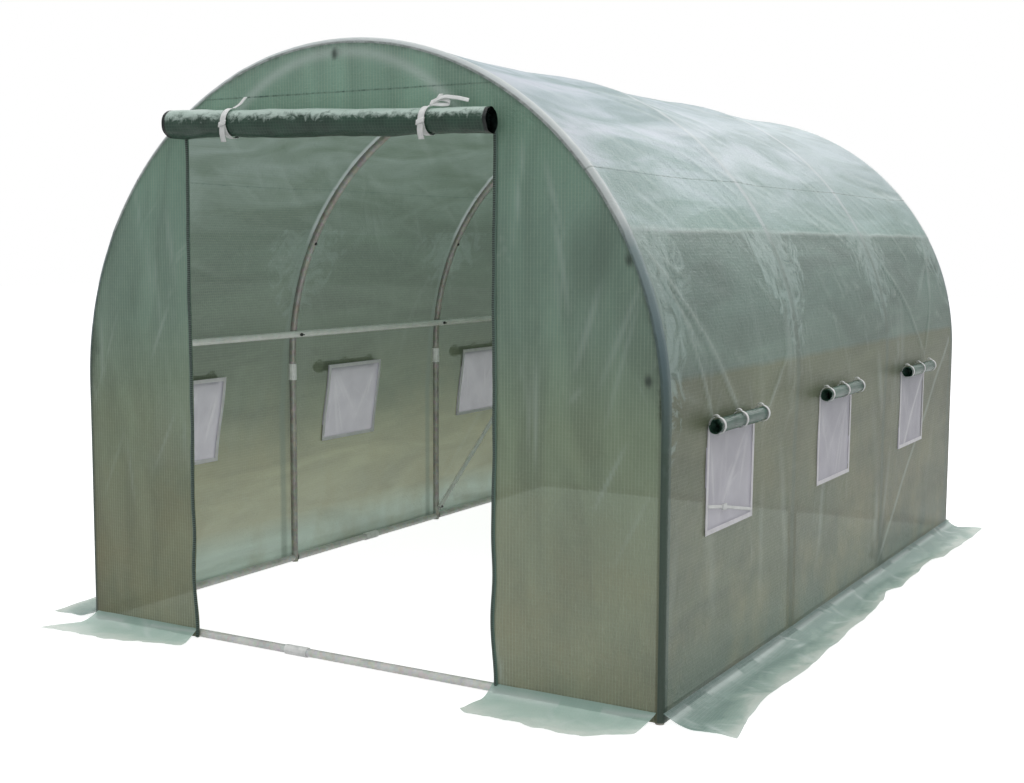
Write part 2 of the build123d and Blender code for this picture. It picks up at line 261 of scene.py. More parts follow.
def sheet_grid(name, flat_u, flat_v, points):
    """A grid primitive moved to points. All three are arrays of rows by columns."""
    rows, columns = flat_u.shape
    clear_selection()
    bpy.ops.mesh.primitive_grid_add(x_subdivisions=columns - 1, y_subdivisions=rows - 1, size=2)
    piece = bpy.context.object
    piece.name = piece.data.name = name
    mesh = piece.data
    start = np.empty(len(mesh.vertices) * 3)
    mesh.vertices.foreach_get("co", start)
    start = start.reshape(-1, 3)
    column = np.rint((start[:, 0] + 1) / 2 * (columns - 1)).astype(int)
    row = np.rint((start[:, 1] + 1) / 2 * (rows - 1)).astype(int)
    mesh.vertices.foreach_set("co", points[row, column].reshape(-1))
    corner = np.empty(len(mesh.loops), dtype=np.int32)
    mesh.loops.foreach_get("vertex_index", corner)
    flat = np.stack([flat_u[row, column], flat_v[row, column]], axis=-1)[corner]
    mesh.uv_layers.active.data.foreach_set("uv", flat.reshape(-1).astype(np.float32))
    mesh.polygons.foreach_set("use_smooth", np.ones(len(mesh.polygons), dtype=bool))
    mesh.update()
    return piece, row, column


def begin_edit(select="SELECT"):
    bpy.ops.object.mode_set(mode="EDIT")
    bpy.ops.mesh.select_mode(type="FACE")
    bpy.ops.mesh.select_all(action=select)


def delete_faces(piece, chosen):
    """Deletes the faces for which chosen(centre) is true."""
    clear_selection()
    piece.select_set(True)
    bpy.context.view_layer.objects.active = piece
    begin_edit("DESELECT")
    bpy.ops.object.mode_set(mode="OBJECT")
    for face in piece.data.polygons:
        face.select = bool(chosen(face.center))
    bpy.ops.object.mode_set(mode="EDIT")
    bpy.ops.mesh.delete(type="FACE")
    bpy.ops.object.mode_set(mode="OBJECT")


# %% [markdown]
# ## Creases
# Woven film is stiff and thin. Pulled over the hoops it doesn't stretch, it creases: sharp short crinkles
# fan out from every place that is pinched, and long shallow folds run from hoop to hoop. Each crease is a
# ridge or a groove along a short line on the flat sheet, and a fan is a handful of them from one point.

# %% Crease helpers
def crease_height(u, v, creases):
    """Height of the creases, each (u0, v0, u1, v1, height, width), at points of the flat sheet."""
    total = np.zeros_like(u)
    for u0, v0, u1, v1, height, width in creases:
        reach = 3.2 * width
        near = (u > min(u0, u1) - reach) & (u < max(u0, u1) + reach)
        near &= (v > min(v0, v1) - reach) & (v < max(v0, v1) + reach)
        pu, pv = u[near], v[near]
        du, dv = u1 - u0, v1 - v0
        t = np.clip(((pu - u0) * du + (pv - v0) * dv) / (du * du + dv * dv), 0, 1)
        off = np.hypot(pu - u0 - t * du, pv - v0 - t * dv) / width
        total[near] += height * (1.4 * np.exp(-off ** 2) - 0.4 * np.exp(-(off / 2) ** 2)) \
            * np.sin(math.pi * (0.06 + 0.88 * t))
    return total


def fan(rng, u, v, toward, spread, count, reach, height, width):
    """Creases that fan out from a pinched point, toward an angle in degrees on the flat sheet."""
    made = []
    for _ in range(count):
        turn = math.radians(toward + rng.uniform(-spread, spread))
        start = rng.uniform(0.01, 0.05)
        end = start + reach * rng.uniform(0.35, 1.0)
        bend = rng.uniform(-0.12, 0.12)
        made.append((u + start * math.cos(turn), v + start * math.sin(turn),
                     u + end * math.cos(turn + bend), v + end * math.sin(turn + bend),
                     height * rng.uniform(-0.7, 1.0), width * rng.uniform(0.7, 1.4)))
    return made


def scatter(rng, count, u_range, v_range, toward, spread, length, height, width):
    """Loose creases in a rectangle of the sheet, roughly along one direction."""
    made = []
    for _ in range(count):
        u, v = rng.uniform(*u_range), rng.uniform(*v_range)
        turn = math.radians(toward + rng.uniform(-spread, spread))
        half = length * rng.uniform(0.25, 0.6)
        made.append((u - half * math.cos(turn), v - half * math.sin(turn),
                     u + half * math.cos(turn), v + half * math.sin(turn),
                     height * rng.uniform(-1.0, 1.0), width * rng.uniform(0.7, 1.5)))
    return made


def swell(rng, u, v, waves, height):
    """A smooth random surface. waves: (longest wave along u, longest wave along v)."""
    total = np.zeros_like(u)
    for _ in range(7):
        ku = rng.uniform(0.4, 1.3) / waves[0] * rng.choice((-1, 1))
        kv = rng.uniform(0.5, 1.6) / waves[1]
        total += np.sin(2 * math.pi * (ku * u + kv * v) + rng.uniform(0, 2 * math.pi))
    return total * height / math.sqrt(7)


# %% [markdown]
# ## Cover
# On the roof the film sags a little between the hoops, and each hoop shows as a soft ridge. Below the joint
# of the hoops it crinkles in fans. Beside the windows it hangs straighter.

# %% Cover relief
rng = np.random.default_rng(41)
cover_creases = []
for side in (0, 1):
    def girth_at(run):
        return run if side == 0 else GIRTH - run

    down = -90 if side == 0 else 90
    for hoop, y in enumerate(HOOPS_Y):
        inward = {0: 35, 3: -35}.get(hoop, 0) * (1 if side == 0 else -1)
        cover_creases += fan(rng, y, girth_at(JOINT_RUN), down + inward, 75, 14, 0.24, 0.0034, 0.0075)
        cover_creases += fan(rng, y, girth_at(JOINT_RUN), down + inward * 1.4, 34, 5, 0.66, 0.0036, 0.011)
        for _ in range(7):
            dent = (y + rng.uniform(-0.14, 0.14), girth_at(JOINT_RUN - rng.uniform(0.03, 0.26)))
            cover_creases += fan(rng, *dent, down, 180, 6, 0.10, 0.0034, 0.0065)
        cover_creases += fan(rng, y, girth_at(SEAM_RUN), -down + inward, 65, 8, 0.3, 0.002, 0.010)
        cover_creases += fan(rng, y, girth_at(0.85), down + inward, 60, 5, 0.25, 0.0014, 0.010)
    for bay in range(3):
        y0, y1 = HOOPS_Y[bay], HOOPS_Y[bay + 1]
        lean = 1 if side == 0 else -1
        run = sorted((girth_at(JOINT_RUN - 0.02), girth_at(JOINT_RUN - 0.4)))
        cover_creases += scatter(rng, 26, (y0, y1), run, -40 * lean, 60, 0.16, 0.0020, 0.009)
        run = sorted((girth_at(JOINT_RUN + 0.02), girth_at(SEAM_RUN + 0.05)))
        cover_creases += scatter(rng, 22, (y0, y1), run, -32 * lean, 20, 0.34, 0.0040, 0.0085)
        run = sorted((girth_at(SEAM_RUN), girth_at(GIRTH / 2)))
        cover_creases += scatter(rng, 16, (y0, y1), run, -22 * lean, 18, 0.62, 0.0060, 0.019)
        cover_creases += scatter(rng, 22, (y0, y1), run, -30 * lean, 36, 0.26, 0.0030, 0.0085)
        run = sorted((girth_at(0.05), girth_at(0.95)))
        cover_creases += scatter(rng, 7, (y0, y1), run, 90, 18, 0.5, 0.0024, 0.028)
        window = WINDOWS_Y["right" if side == 0 else "left"][bay]
        for edge in (-1, 1):
            corner = window + edge * WINDOW_W / 2
            outward = 30 * edge * lean
            top, bottom = girth_at(WINDOW_TOP - HEM_Z), girth_at(WINDOW_BOTTOM - HEM_Z)
            cover_creases += fan(rng, corner, top, -down + outward, 45, 4, 0.18, 0.0018, 0.009)
            cover_creases += fan(rng, corner, bottom, down - outward, 45, 3, 0.14, 0.0014, 0.009)
cover_creases += [
    (0.52, JOINT_RUN, 1.03, 0.79, 0.0065, 0.010),
    (1.03, 0.79, 1.44, 1.36, 0.0045, 0.012),
    (-1.47, JOINT_RUN - 0.02, -0.98, 0.70, 0.0060, 0.012),
    (-1.44, JOINT_RUN - 0.05, -1.16, 0.62, 0.0045, 0.011),
    (-0.84, 0.70, -0.60, 0.90, 0.0040, 0.009),
]


def cover_lift(along, girth):
    place = np.clip((along + HALF_LENGTH) / (2 * HALF_LENGTH), 0, 1) * 3
    across = place - np.floor(np.minimum(place, 2.9999))
    free = (4 * across * (1 - across)) ** 0.8  # 0 on a hoop, 1 half-way between two
    angle = np.clip((girth - LEG_RUN) / FILM_R, 0, math.pi)
    roof = np.sin(angle)
    shape = np.random.default_rng(7)
    lift = -free * (0.003 + 0.011 * roof ** 2)
    lift += free * swell(shape, along, girth, (2.2, 0.30), 0.0034) * (0.35 + 0.65 * roof)
    lift += (0.15 + 0.85 * free) * swell(shape, along, girth, (0.7, 0.5), 0.0012)
    lift += crease_height(along, girth, cover_creases) * (0.25 + 0.75 * free ** 0.5)
    for run in (JOINT_RUN, GIRTH - JOINT_RUN):
        inner = np.abs(girth - GIRTH / 2) < abs(run - GIRTH / 2)
        edge = np.abs(girth - run)
        lift += np.where(inner, 0.0016 * np.exp(-edge / 0.05), 0)
    return np.maximum(lift, -0.0125)


# %% Cover sheet
window_stops = sorted({y + edge * WINDOW_W / 2
                       for ys in WINDOWS_Y.values() for y in ys for edge in (-1, 1)})
columns = ticks((-HALF_LENGTH - WRAP, 0.0035), (-HALF_LENGTH, 0.0125), *[(y, 0.0125) for y in window_stops],
                (HALF_LENGTH, 0.0035), (HALF_LENGTH + WRAP, 0))
low, high = WINDOW_BOTTOM - HEM_Z, WINDOW_TOP - HEM_Z
rows = ticks((0, 0.0135), (low, 0.0135), (high, 0.0135), (JOINT_RUN, 0.0135), (GIRTH - JOINT_RUN, 0.0135),
             (GIRTH - high, 0.0135), (GIRTH - low, 0.0135), (GIRTH, 0))
along, girth = np.meshgrid(columns, rows)
lift = cover_lift(along, girth)
cover, row, column = sheet_grid("cover_film", along, girth, cover_point(along, girth, lift))


def near_line(u, v, line, width):
    """1 on a line (u0, v0, u1, v1) of the flat sheet, fading to 0 a few widths away."""
    u0, v0, u1, v1 = line
    t = np.clip(((u - u0) * (u1 - u0) + (v - v0) * (v1 - v0)) / ((u1 - u0) ** 2 + (v1 - v0) ** 2), 0, 1)
    return np.exp(-(np.hypot(u - u0 - t * (u1 - u0), v - v0 - t * (v1 - v0)) / width) ** 2)


def paint(piece, name, values):
    """Keeps a number from 0 to 1 at each point, which the material reads by name."""
    layer = piece.data.attributes.new(name, "FLOAT", "POINT")
    layer.data.foreach_set("value", np.clip(values, 0, 1).astype(np.float32))


# The crease attribute holds a painted highlight along the creases and a pale painted line where the brace
# shows through. The crumple attribute holds where a painted sheen goes below the joints.
fold_line = np.abs(crease_height(along, girth, cover_creases)) / 0.0042
crumple = np.zeros_like(along)
BRACE_LINE = (0.44, 0.05, 1.44, 0.825)  # where the rear bay's brace shows through, on the flat sheet
for place in (girth, GIRTH - girth):
    fold_line = np.maximum(fold_line, near_line(along, place, BRACE_LINE, 0.009))
    below = JOINT_RUN - place
    for y, reach in zip(HOOPS_Y, (0.62, 0.40, 0.34, 0.30)):
        wide = 0.22 * np.clip(1.1 - below / reach, 0, 1) + 0.01
        patch = np.exp(-((along - y) / wide) ** 2) * (below > -0.03) * np.clip(1.3 - below / reach, 0, 1)
        crumple = np.maximum(crumple, patch)
paint(cover, "crease", fold_line[row, column])
paint(cover, "crumple", crumple[row, column])


def in_a_window(centre):
    if not WINDOW_BOTTOM < centre.z < WINDOW_TOP:
        return False
    word = "right" if centre.x > 0 else "left"
    straight_y = centre.y - float(window_shift(centre.y, centre.z, word))
    return any(abs(straight_y - y) < WINDOW_W / 2 for y in WINDOWS_Y[word])


delete_faces(cover, in_a_window)
print("cover has", len(cover.data.polygons), "faces and", len(cover_creases), "creases")

# %% [markdown]
# ## Woven film
# The cover is clear green polyethylene with a grid of flat threads laid into it, about 10 mm apart. It lets
# about half of the light through. Its threads catch the light as pale lines, its creases carry a painted
# highlight and the roof a painted sheen of the sky in pale bands. Its tone by height is painted light and
# shade: pale over the roof, the full green below the hoops' joints, and an olive tone near the ground, a
# painted reflection of the ground. Its inner face is painted darker and greener, as shade inside the tunnel,
# and paler near the ground, painted light from the white floor. The hoops' lines, the end hems and the brace
# are painted on it, as they show through the film.

# %% Film material
THREAD_PITCH = 0.010
THREAD_WIDTH = 0.0034  # about 1 mm on the real film, drawn wider so that it shows
LIGHT_THROUGH = 0.36  # the share of the light that the milky film scatters to its other side
CLEAR_SHARE = 0.07  # the share that goes straight through between the threads


def thread_mask(material, flat, axis, pitch, width):
    """1 on the threads that cross the sheet at one pitch, 0 between them."""
    fold = add_node(material, "Math", {0: flat.outputs[axis], 1: pitch / 2}, operation="PINGPONG")
    return add_node(material, "MapRange", {0: fold, 1: width / 2, 2: width / 5, 3: 0.0, 4: 1.0},
                    interpolation_type="SMOOTHSTEP")


def weave(material, flat, pitch, width):
    """1 on the threads of both directions, 0 between them."""
    upright = thread_mask(material, flat, "X", pitch, width)
    level = thread_mask(material, flat, "Y", pitch, width)
    return add_node(material, "Math", {0: upright, 1: level}, operation="MAXIMUM")


def lit_through(material, face, colour, share):
    """A face that also scatters a share of the light through to its other side."""
    through = add_node(material, "BsdfTranslucent", {"Color": colour})
    return add_node(material, "MixShader", {0: share, 1: face, 2: through})


def ramp_by_height(material, height, heights):
    top = 1.85
    level = add_node(material, "Math", {0: height, 1: top}, operation="DIVIDE")
    stops = [(z / top, colour) for z, colour in heights]
    return add_node(material, "ValToRGB", {0: level}, stops=stops)


def woven_film(name, outside, inside, threads=(0.34, 0.10), streaks=(5.0, 1.2), seams=(),
               main_sheet=False):
    """outside, inside: (height in metres, hex) of the film's tone on each face, from the ground up. The tones
    are the film's green with painted light and shade in them.

    threads: how much the upright and the level threads show. streaks: the clouds' fineness across and up.
    seams: their runs on the flat sheet. main_sheet: shows the hoops and the hems, and paints a sheen on the
    roof and on the crumpled places.
    """
    material = new_material(name)
    place = add_node(material, "TexCoord")
    spot = add_node(material, "SeparateXYZ", {0: place.outputs["Object"]})
    flat = add_node(material, "SeparateXYZ", {0: place.outputs["UV"]})
    drift = add_node(material, "TexNoise",
                     {"Vector": place.outputs["Object"], "Scale": 7.0, "Detail": 3.0, "Roughness": 0.55})
    wander = add_node(material, "MapRange", {0: drift, 1: 0.3, 2: 0.7, 3: -0.003, 4: 0.003})
    height = add_node(material, "Math", {0: spot.outputs["Z"], 1: wander}, operation="ADD")
    which_face = add_node(material, "NewGeometry").outputs["Backfacing"]
    # Each face's tone by height is painted light and shade on the film's green.
    tone = add_node(material, "Mix",
                    {0: which_face, 6: ramp_by_height(material, height, outside),
                     7: ramp_by_height(material, height, inside)}, data_type="RGBA")

    drawn_out = add_node(material, "Mapping",
                         {"Vector": place.outputs["UV"], "Rotation": (0, 0, 0.24),
                          "Scale": (*streaks, 1.0)})
    bands = add_node(material, "TexNoise",
                     {"Vector": drawn_out, "Scale": 1.5, "Detail": 3.5, "Roughness": 0.52,
                      "Distortion": 0.9})
    patch = add_node(material, "MapRange", {0: bands, 1: 0.34, 2: 0.66, 3: 0.84, 4: 1.16})
    colour = add_node(material, "Mix", {0: 1.0, 6: tone, 7: patch}, data_type="RGBA", blend_type="MULTIPLY")
    # Olive patches low down: a painted reflection of the ground.
    dust_and_ground_reflection = add_node(material, "TexNoise",
                    {"Vector": place.outputs["Object"], "Scale": 3.4, "Detail": 5.0, "Roughness": 0.6})
    low_down = add_node(material, "MapRange", {0: height, 1: 0.85, 2: 0.25, 3: 0.0, 4: 0.55})
    ground_reflection_patches = add_node(material, "MapRange", {0: dust_and_ground_reflection, 1: 0.45, 2: 0.68, 3: 0.0, 4: 1.0})
    olive = add_node(material, "Math", {0: low_down, 1: ground_reflection_patches}, operation="MULTIPLY")
    colour = add_node(material, "Mix", {0: olive, 6: colour, 7: "#928d6c"}, data_type="RGBA")

    crinkle = add_node(material, "TexNoise",
                       {"Vector": place.outputs["Object"], "Scale": 26.0, "Detail": 6.0, "Roughness": 0.66,
                        "Distortion": 1.6})
    upright = thread_mask(material, flat, "X", THREAD_PITCH, THREAD_WIDTH)
    level = thread_mask(material, flat, "Y", THREAD_PITCH, THREAD_WIDTH)
    upright = add_node(material, "Math", {0: upright, 1: threads[0]}, operation="MULTIPLY")
    level = add_node(material, "Math", {0: level, 1: threads[1]}, operation="MULTIPLY")
    thread = add_node(material, "Math", {0: upright, 1: level}, operation="MAXIMUM")
    seen = add_node(material, "MapRange", {0: crinkle, 1: 0.35, 2: 0.62, 3: 0.35, 4: 1.0})
    glint = add_node(material, "Math", {0: thread, 1: seen}, operation="MULTIPLY")
    colour = add_node(material, "Mix", {0: glint, 6: colour, 7: "#b3c0a9"}, data_type="RGBA")

    # Pale where the crease attribute is set: a painted highlight, mostly on the outer face.
    crease_highlight = add_node(material, "Attribute", attribute_name="crease").outputs["Fac"]
    sheltered = add_node(material, "Math", {0: which_face, 1: 0.8}, operation="MULTIPLY")
    outer = add_node(material, "Math", {0: 1.0, 1: sheltered}, operation="SUBTRACT")
    crease_highlight = add_node(material, "Math", {0: crease_highlight, 1: outer}, operation="MULTIPLY")
    crease_highlight_share = add_node(material, "Math", {0: crease_highlight, 1: 0.36 if main_sheet else 0.55}, operation="MULTIPLY")
    colour = add_node(material, "Mix", {0: crease_highlight_share, 6: colour, 7: "#cfdcd8"}, data_type="RGBA")
    if main_sheet:
        # Pale bands over the roof on the outer face: a painted sheen of the sky, stronger towards the front.
        sheen = add_node(material, "MapRange", {0: bands, 1: 0.36, 2: 0.66, 3: 0.0, 4: 1.0})
        on_roof = add_node(material, "MapRange", {0: height, 1: 1.27, 2: 1.52, 3: 0.25, 4: 0.85})
        roof_sky_sheen = add_node(material, "Math", {0: sheen, 1: on_roof}, operation="MULTIPLY")
        to_rear = add_node(material, "MapRange", {0: spot.outputs["Y"], 1: -1.3, 2: 0.9, 3: 1.25, 4: 0.45})
        roof_sky_sheen = add_node(material, "Math", {0: roof_sky_sheen, 1: to_rear}, operation="MULTIPLY")
        above = add_node(material, "Math", {0: height, 1: 1.262}, operation="GREATER_THAN")
        roof_sky_sheen = add_node(material, "Math", {0: roof_sky_sheen, 1: outer}, operation="MULTIPLY")
        roof_sky_sheen = add_node(material, "Math", {0: roof_sky_sheen, 1: above}, operation="MULTIPLY")
        colour = add_node(material, "Mix", {0: roof_sky_sheen, 6: colour, 7: "#cdd4e0"}, data_type="RGBA")

        # Pale patches where the film crumples below the joints: a painted sheen.
        zone = add_node(material, "Attribute", attribute_name="crumple").outputs["Fac"]
        rumple = add_node(material, "TexNoise",
                          {"Vector": place.outputs["Object"], "Scale": 8.0, "Detail": 7.0,
                           "Roughness": 0.64, "Distortion": 2.2})
        reach = add_node(material, "Math", {0: zone, 1: 0.26}, operation="MULTIPLY")
        reach = add_node(material, "Math", {0: rumple, 1: reach}, operation="ADD")
        crumple_sheen = add_node(material, "MapRange", {0: reach, 1: 0.59, 2: 0.72, 3: 0.0, 4: 0.66})
        nearby = add_node(material, "MapRange", {0: zone, 1: 0.08, 2: 0.25, 3: 0.0, 4: 1.0})
        share = add_node(material, "Math", {0: crumple_sheen, 1: nearby}, operation="MULTIPLY")
        share = add_node(material, "Math", {0: share, 1: outer}, operation="MULTIPLY")
        colour = add_node(material, "Mix", {0: share, 6: colour, 7: "#abc0bc"}, data_type="RGBA")

        # Each hoop's line is painted: a pale highlight along it on the roof, and low on the walls a painted
        # shade of the leg that shows through the film. The legs show through the film from well inside it, so
        # their lines are up to 45 mm nearer the door.
        leg_shade = add_node(material, "MapRange", {0: height, 1: 0.6, 2: 1.0, 3: 0.045, 4: 0.0})
        past = add_node(material, "Math", {0: spot.outputs["Y"], 1: HALF_LENGTH}, operation="ADD")
        past = add_node(material, "Math", {0: past, 1: leg_shade}, operation="ADD")
        off = add_node(material, "Math", {0: past, 1: 0.5}, operation="PINGPONG")
        ridge = add_node(material, "MapRange", {0: off, 1: 0.009, 2: 0.024, 3: 0.55, 4: 0.0})
        ridge_tone = ramp_by_height(material, height, [(0.75, "#647366"), (1.22, "#86988f"),
                                                       (1.30, "#d3dde0"), (1.70, "#dde4e8")])
        colour = add_node(material, "Mix", {0: ridge, 6: colour, 7: ridge_tone}, data_type="RGBA")
        # The end hems are a band of their own tone with painted light by height: dark low down, pale on the
        # roof.
        out_from = add_node(material, "Math", {0: spot.outputs["Y"], 1: 0.0}, operation="ABSOLUTE")
        out_from = add_node(material, "Math", {0: out_from, 1: HALF_LENGTH}, operation="SUBTRACT")
        hem = add_node(material, "MapRange", {0: out_from, 1: -0.012, 2: -0.009, 3: 0.0, 4: 0.9})
        hem_tone = ramp_by_height(material, height,
                                  [(0.05, "#3f5347"), (0.70, "#4a6156"), (0.95, "#6b838a"),
                                   (1.22, "#a3b5b8"), (1.30, "#e4eaeb")])
        colour = add_node(material, "Mix", {0: hem, 6: colour, 7: hem_tone}, data_type="RGBA")
        # Where the film turns round the end hoops it is darker in puckers: painted shade.
        turned = add_node(material, "MapRange", {0: out_from, 1: 0.0148, 2: 0.0160, 3: 0.0, 4: 0.8})
        pucker = add_node(material, "MapRange", {0: crinkle, 1: 0.35, 2: 0.62, 3: 0.45, 4: 0.85})
        pucker_shade = add_node(material, "Math", {0: turned, 1: pucker}, operation="MULTIPLY")
        colour = add_node(material, "Mix", {0: pucker_shade, 6: colour, 7: "#3d5248"}, data_type="RGBA")
    else:
        # Dark screw spots, a wide darker oval, and painted shade along the gathered rim of the end walls.
        pressed = add_node(material, "Attribute", attribute_name="pressed").outputs["Fac"]
        pressed = add_node(material, "Math", {0: pressed, 1: 0.85}, operation="MULTIPLY")
        colour = add_node(material, "Mix", {0: pressed, 6: colour, 7: "#26362f"}, data_type="RGBA")
    for run in seams:
        off = add_node(material, "Math", {0: flat.outputs["Y"], 1: run}, operation="SUBTRACT")
        off = add_node(material, "Math", {0: off, 1: 0.0}, operation="ABSOLUTE")
        line = add_node(material, "MapRange", {0: off, 1: 0.0012, 2: 0.0032, 3: 0.95, 4: 0.0})
        sewn = add_node(material, "MapRange", {0: crinkle, 1: 0.36, 2: 0.52, 3: 1.0, 4: 0.35})
        stitched = add_node(material, "Math", {0: line, 1: sewn}, operation="MULTIPLY")
        colour = add_node(material, "Mix", {0: stitched, 6: colour, 7: "#425f55"}, data_type="RGBA")

    relief = add_node(material, "Math", {0: thread, 1: 0.5}, operation="MULTIPLY")
    rough = add_node(material, "Math", {0: crinkle, 1: 1.6}, operation="MULTIPLY")
    relief = add_node(material, "Math", {0: relief, 1: rough}, operation="ADD")
    bump = add_node(material, "Bump", {"Height": relief, "Strength": 0.55, "Distance": 0.004})
    face = add_node(material, "BsdfPrincipled",
                    {"Base Color": colour, "Roughness": 0.36, "IOR": 1.5, "Normal": bump})
    through = add_node(material, "BsdfTranslucent", {"Color": colour, "Normal": bump})
    mixed = add_node(material, "MixShader", {0: LIGHT_THROUGH, 1: face, 2: through})
    open_share = add_node(material, "MapRange",
                          {0: thread, 1: 0.0, 2: 0.4, 3: CLEAR_SHARE, 4: CLEAR_SHARE * 0.4})
    see = add_node(material, "BsdfTransparent", {"Color": "#d5e6dc"})
    shader = add_node(material, "MixShader", {0: open_share, 1: mixed, 2: see})
    return close_material(material, shader)


# The inner face is painted as shade inside the tunnel, dark green, and paler near the ground, painted light
# from the white floor.
INSIDE = [(0.00, "#bccbc1"), (0.10, "#b7c8bb"), (0.19, "#a3a48a"), (0.40, "#919275"), (0.62, "#626c57"),
          (0.88, "#586656"), (1.20, "#566a5c"), (1.45, "#546d5b"), (1.85, "#5a7362")]
# The outer tones are painted light and shade: dark low down with olive, a painted reflection of the ground, a
# step at the purlin's height, a thin pale line of painted highlight at 1.27 m, and pale bluish green over the
# roof.
cover_film = woven_film("woven_polyethylene_cover", [
    (0.00, "#66756d"), (0.20, "#5d644e"), (0.70, "#696f58"), (0.875, "#70775f"), (0.895, "#71867c"),
    (1.05, "#718880"), (1.245, "#6f8780"), (1.264, "#738a83"), (1.267, "#c3d4cf"), (1.270, "#c3d4cf"),
    (1.275, "#91b2ab"), (1.45, "#8aaaa9"), (1.62, "#8faab0"), (1.80, "#a9c0c7")],
    INSIDE, threads=(0.12, 0.12), streaks=(1.2, 5.0), seams=(SEAM_RUN, GIRTH - SEAM_RUN), main_sheet=True)
cover.data.materials.append(cover_film)
# The end walls' tones are painted light by height as well: olive low down, paler green at the top.
END_TONES = [(0.00, "#73755b"), (0.35, "#858a71"), (0.75, "#869780"), (1.00, "#80998a"), (1.30, "#819e90"),
             (1.55, "#82a593"), (1.76, "#92b3a3")]
end_film = woven_film("woven_polyethylene_ends", END_TONES, INSIDE)
tympanum_film = woven_film("woven_polyethylene_tympanum", END_TONES, INSIDE, seams=(1.652,))


def dress(piece, node_names):
    """The piece rides on the frame and stands for the CAD nodes it covers."""
    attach(piece, "root")
    if node_names:
        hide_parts(*node_names)


dress(cover, ["right_side_wall", "left_side_wall", "right_shoulder_cover", "left_shoulder_cover",
              "roof_cover"])

# %% [markdown]
# ## End walls
# The front wall is cut round the doorway: a panel on each side and a crescent over it. The rear wall is one
# piece. Each is sewn to the end of the cover, so its edge follows the end hoop, and the seam gathers it into
# small puckers. The panels hang from that seam and billow a little.

# %% End wall sheets
DOOR_LEFT, DOOR_RIGHT, DOOR_TOP = -0.565, 0.505, 1.5616
END_Y = HALF_LENGTH + STAND_OFF


def arch_top(x):
    return SPRING_Z + np.sqrt(np.maximum(ARCH_R ** 2 - np.asarray(x) ** 2, 0))


def jamb_sway(z):
    """How far the doorway's loose edges wander sideways: more towards the ground."""
    loose = np.clip(1 - z / 0.55, 0, 1)
    return 0.0015 * np.sin(z * 9.0 + 1.0) + 0.007 * loose * np.sin(z * 21.0 + 0.6)


def end_relief(x, z, seed):
    shape = np.random.default_rng(seed)
    edge = np.maximum(ARCH_R - np.hypot(x, np.maximum(z - SPRING_Z, 0)), 0)
    edge = np.where(z < SPRING_Z, np.minimum(edge, ARCH_R - np.abs(x)), edge)
    angle = np.arctan2(np.maximum(z - SPRING_Z, 0), x)
    free = np.clip(edge / 0.10, 0, 1)
    out = free * swell(shape, x, z, (0.55, 1.1), 0.0030)
    out += free * swell(shape, x, z, (0.22, 0.9), 0.0012)
    out += 0.0016 * np.exp(-edge / 0.022) * np.sin(angle * 150 + 3 * np.sin(angle * 23)) * (edge > 0.001)
    return out


# Where black screws press on the front film from behind, and a wide darker oval beside one of them.
SCREWS = ((-0.015, 1.757), (0.918, 1.251), (0.962, 0.886), (0.905, 1.19))
SCREW_W, SCREW_H = 0.011, 0.016
DARK_OVAL_X, DARK_OVAL_Z, DARK_OVAL_W, DARK_OVAL_H = 0.80, 1.20, 0.07, 0.11
HIGHLIGHT_ARC_R, HIGHLIGHT_ARC_Z = 0.53, 1.232  # a pale arc over the doorway, below the crown: a painted highlight


def soft_spot(x, z, middle_x, middle_z, half_w, half_h):
    """1 inside an oval, falling to 0 at its edge."""
    return np.exp(-(((x - middle_x) / half_w) ** 2 + ((z - middle_z) / half_h) ** 2) ** 2)


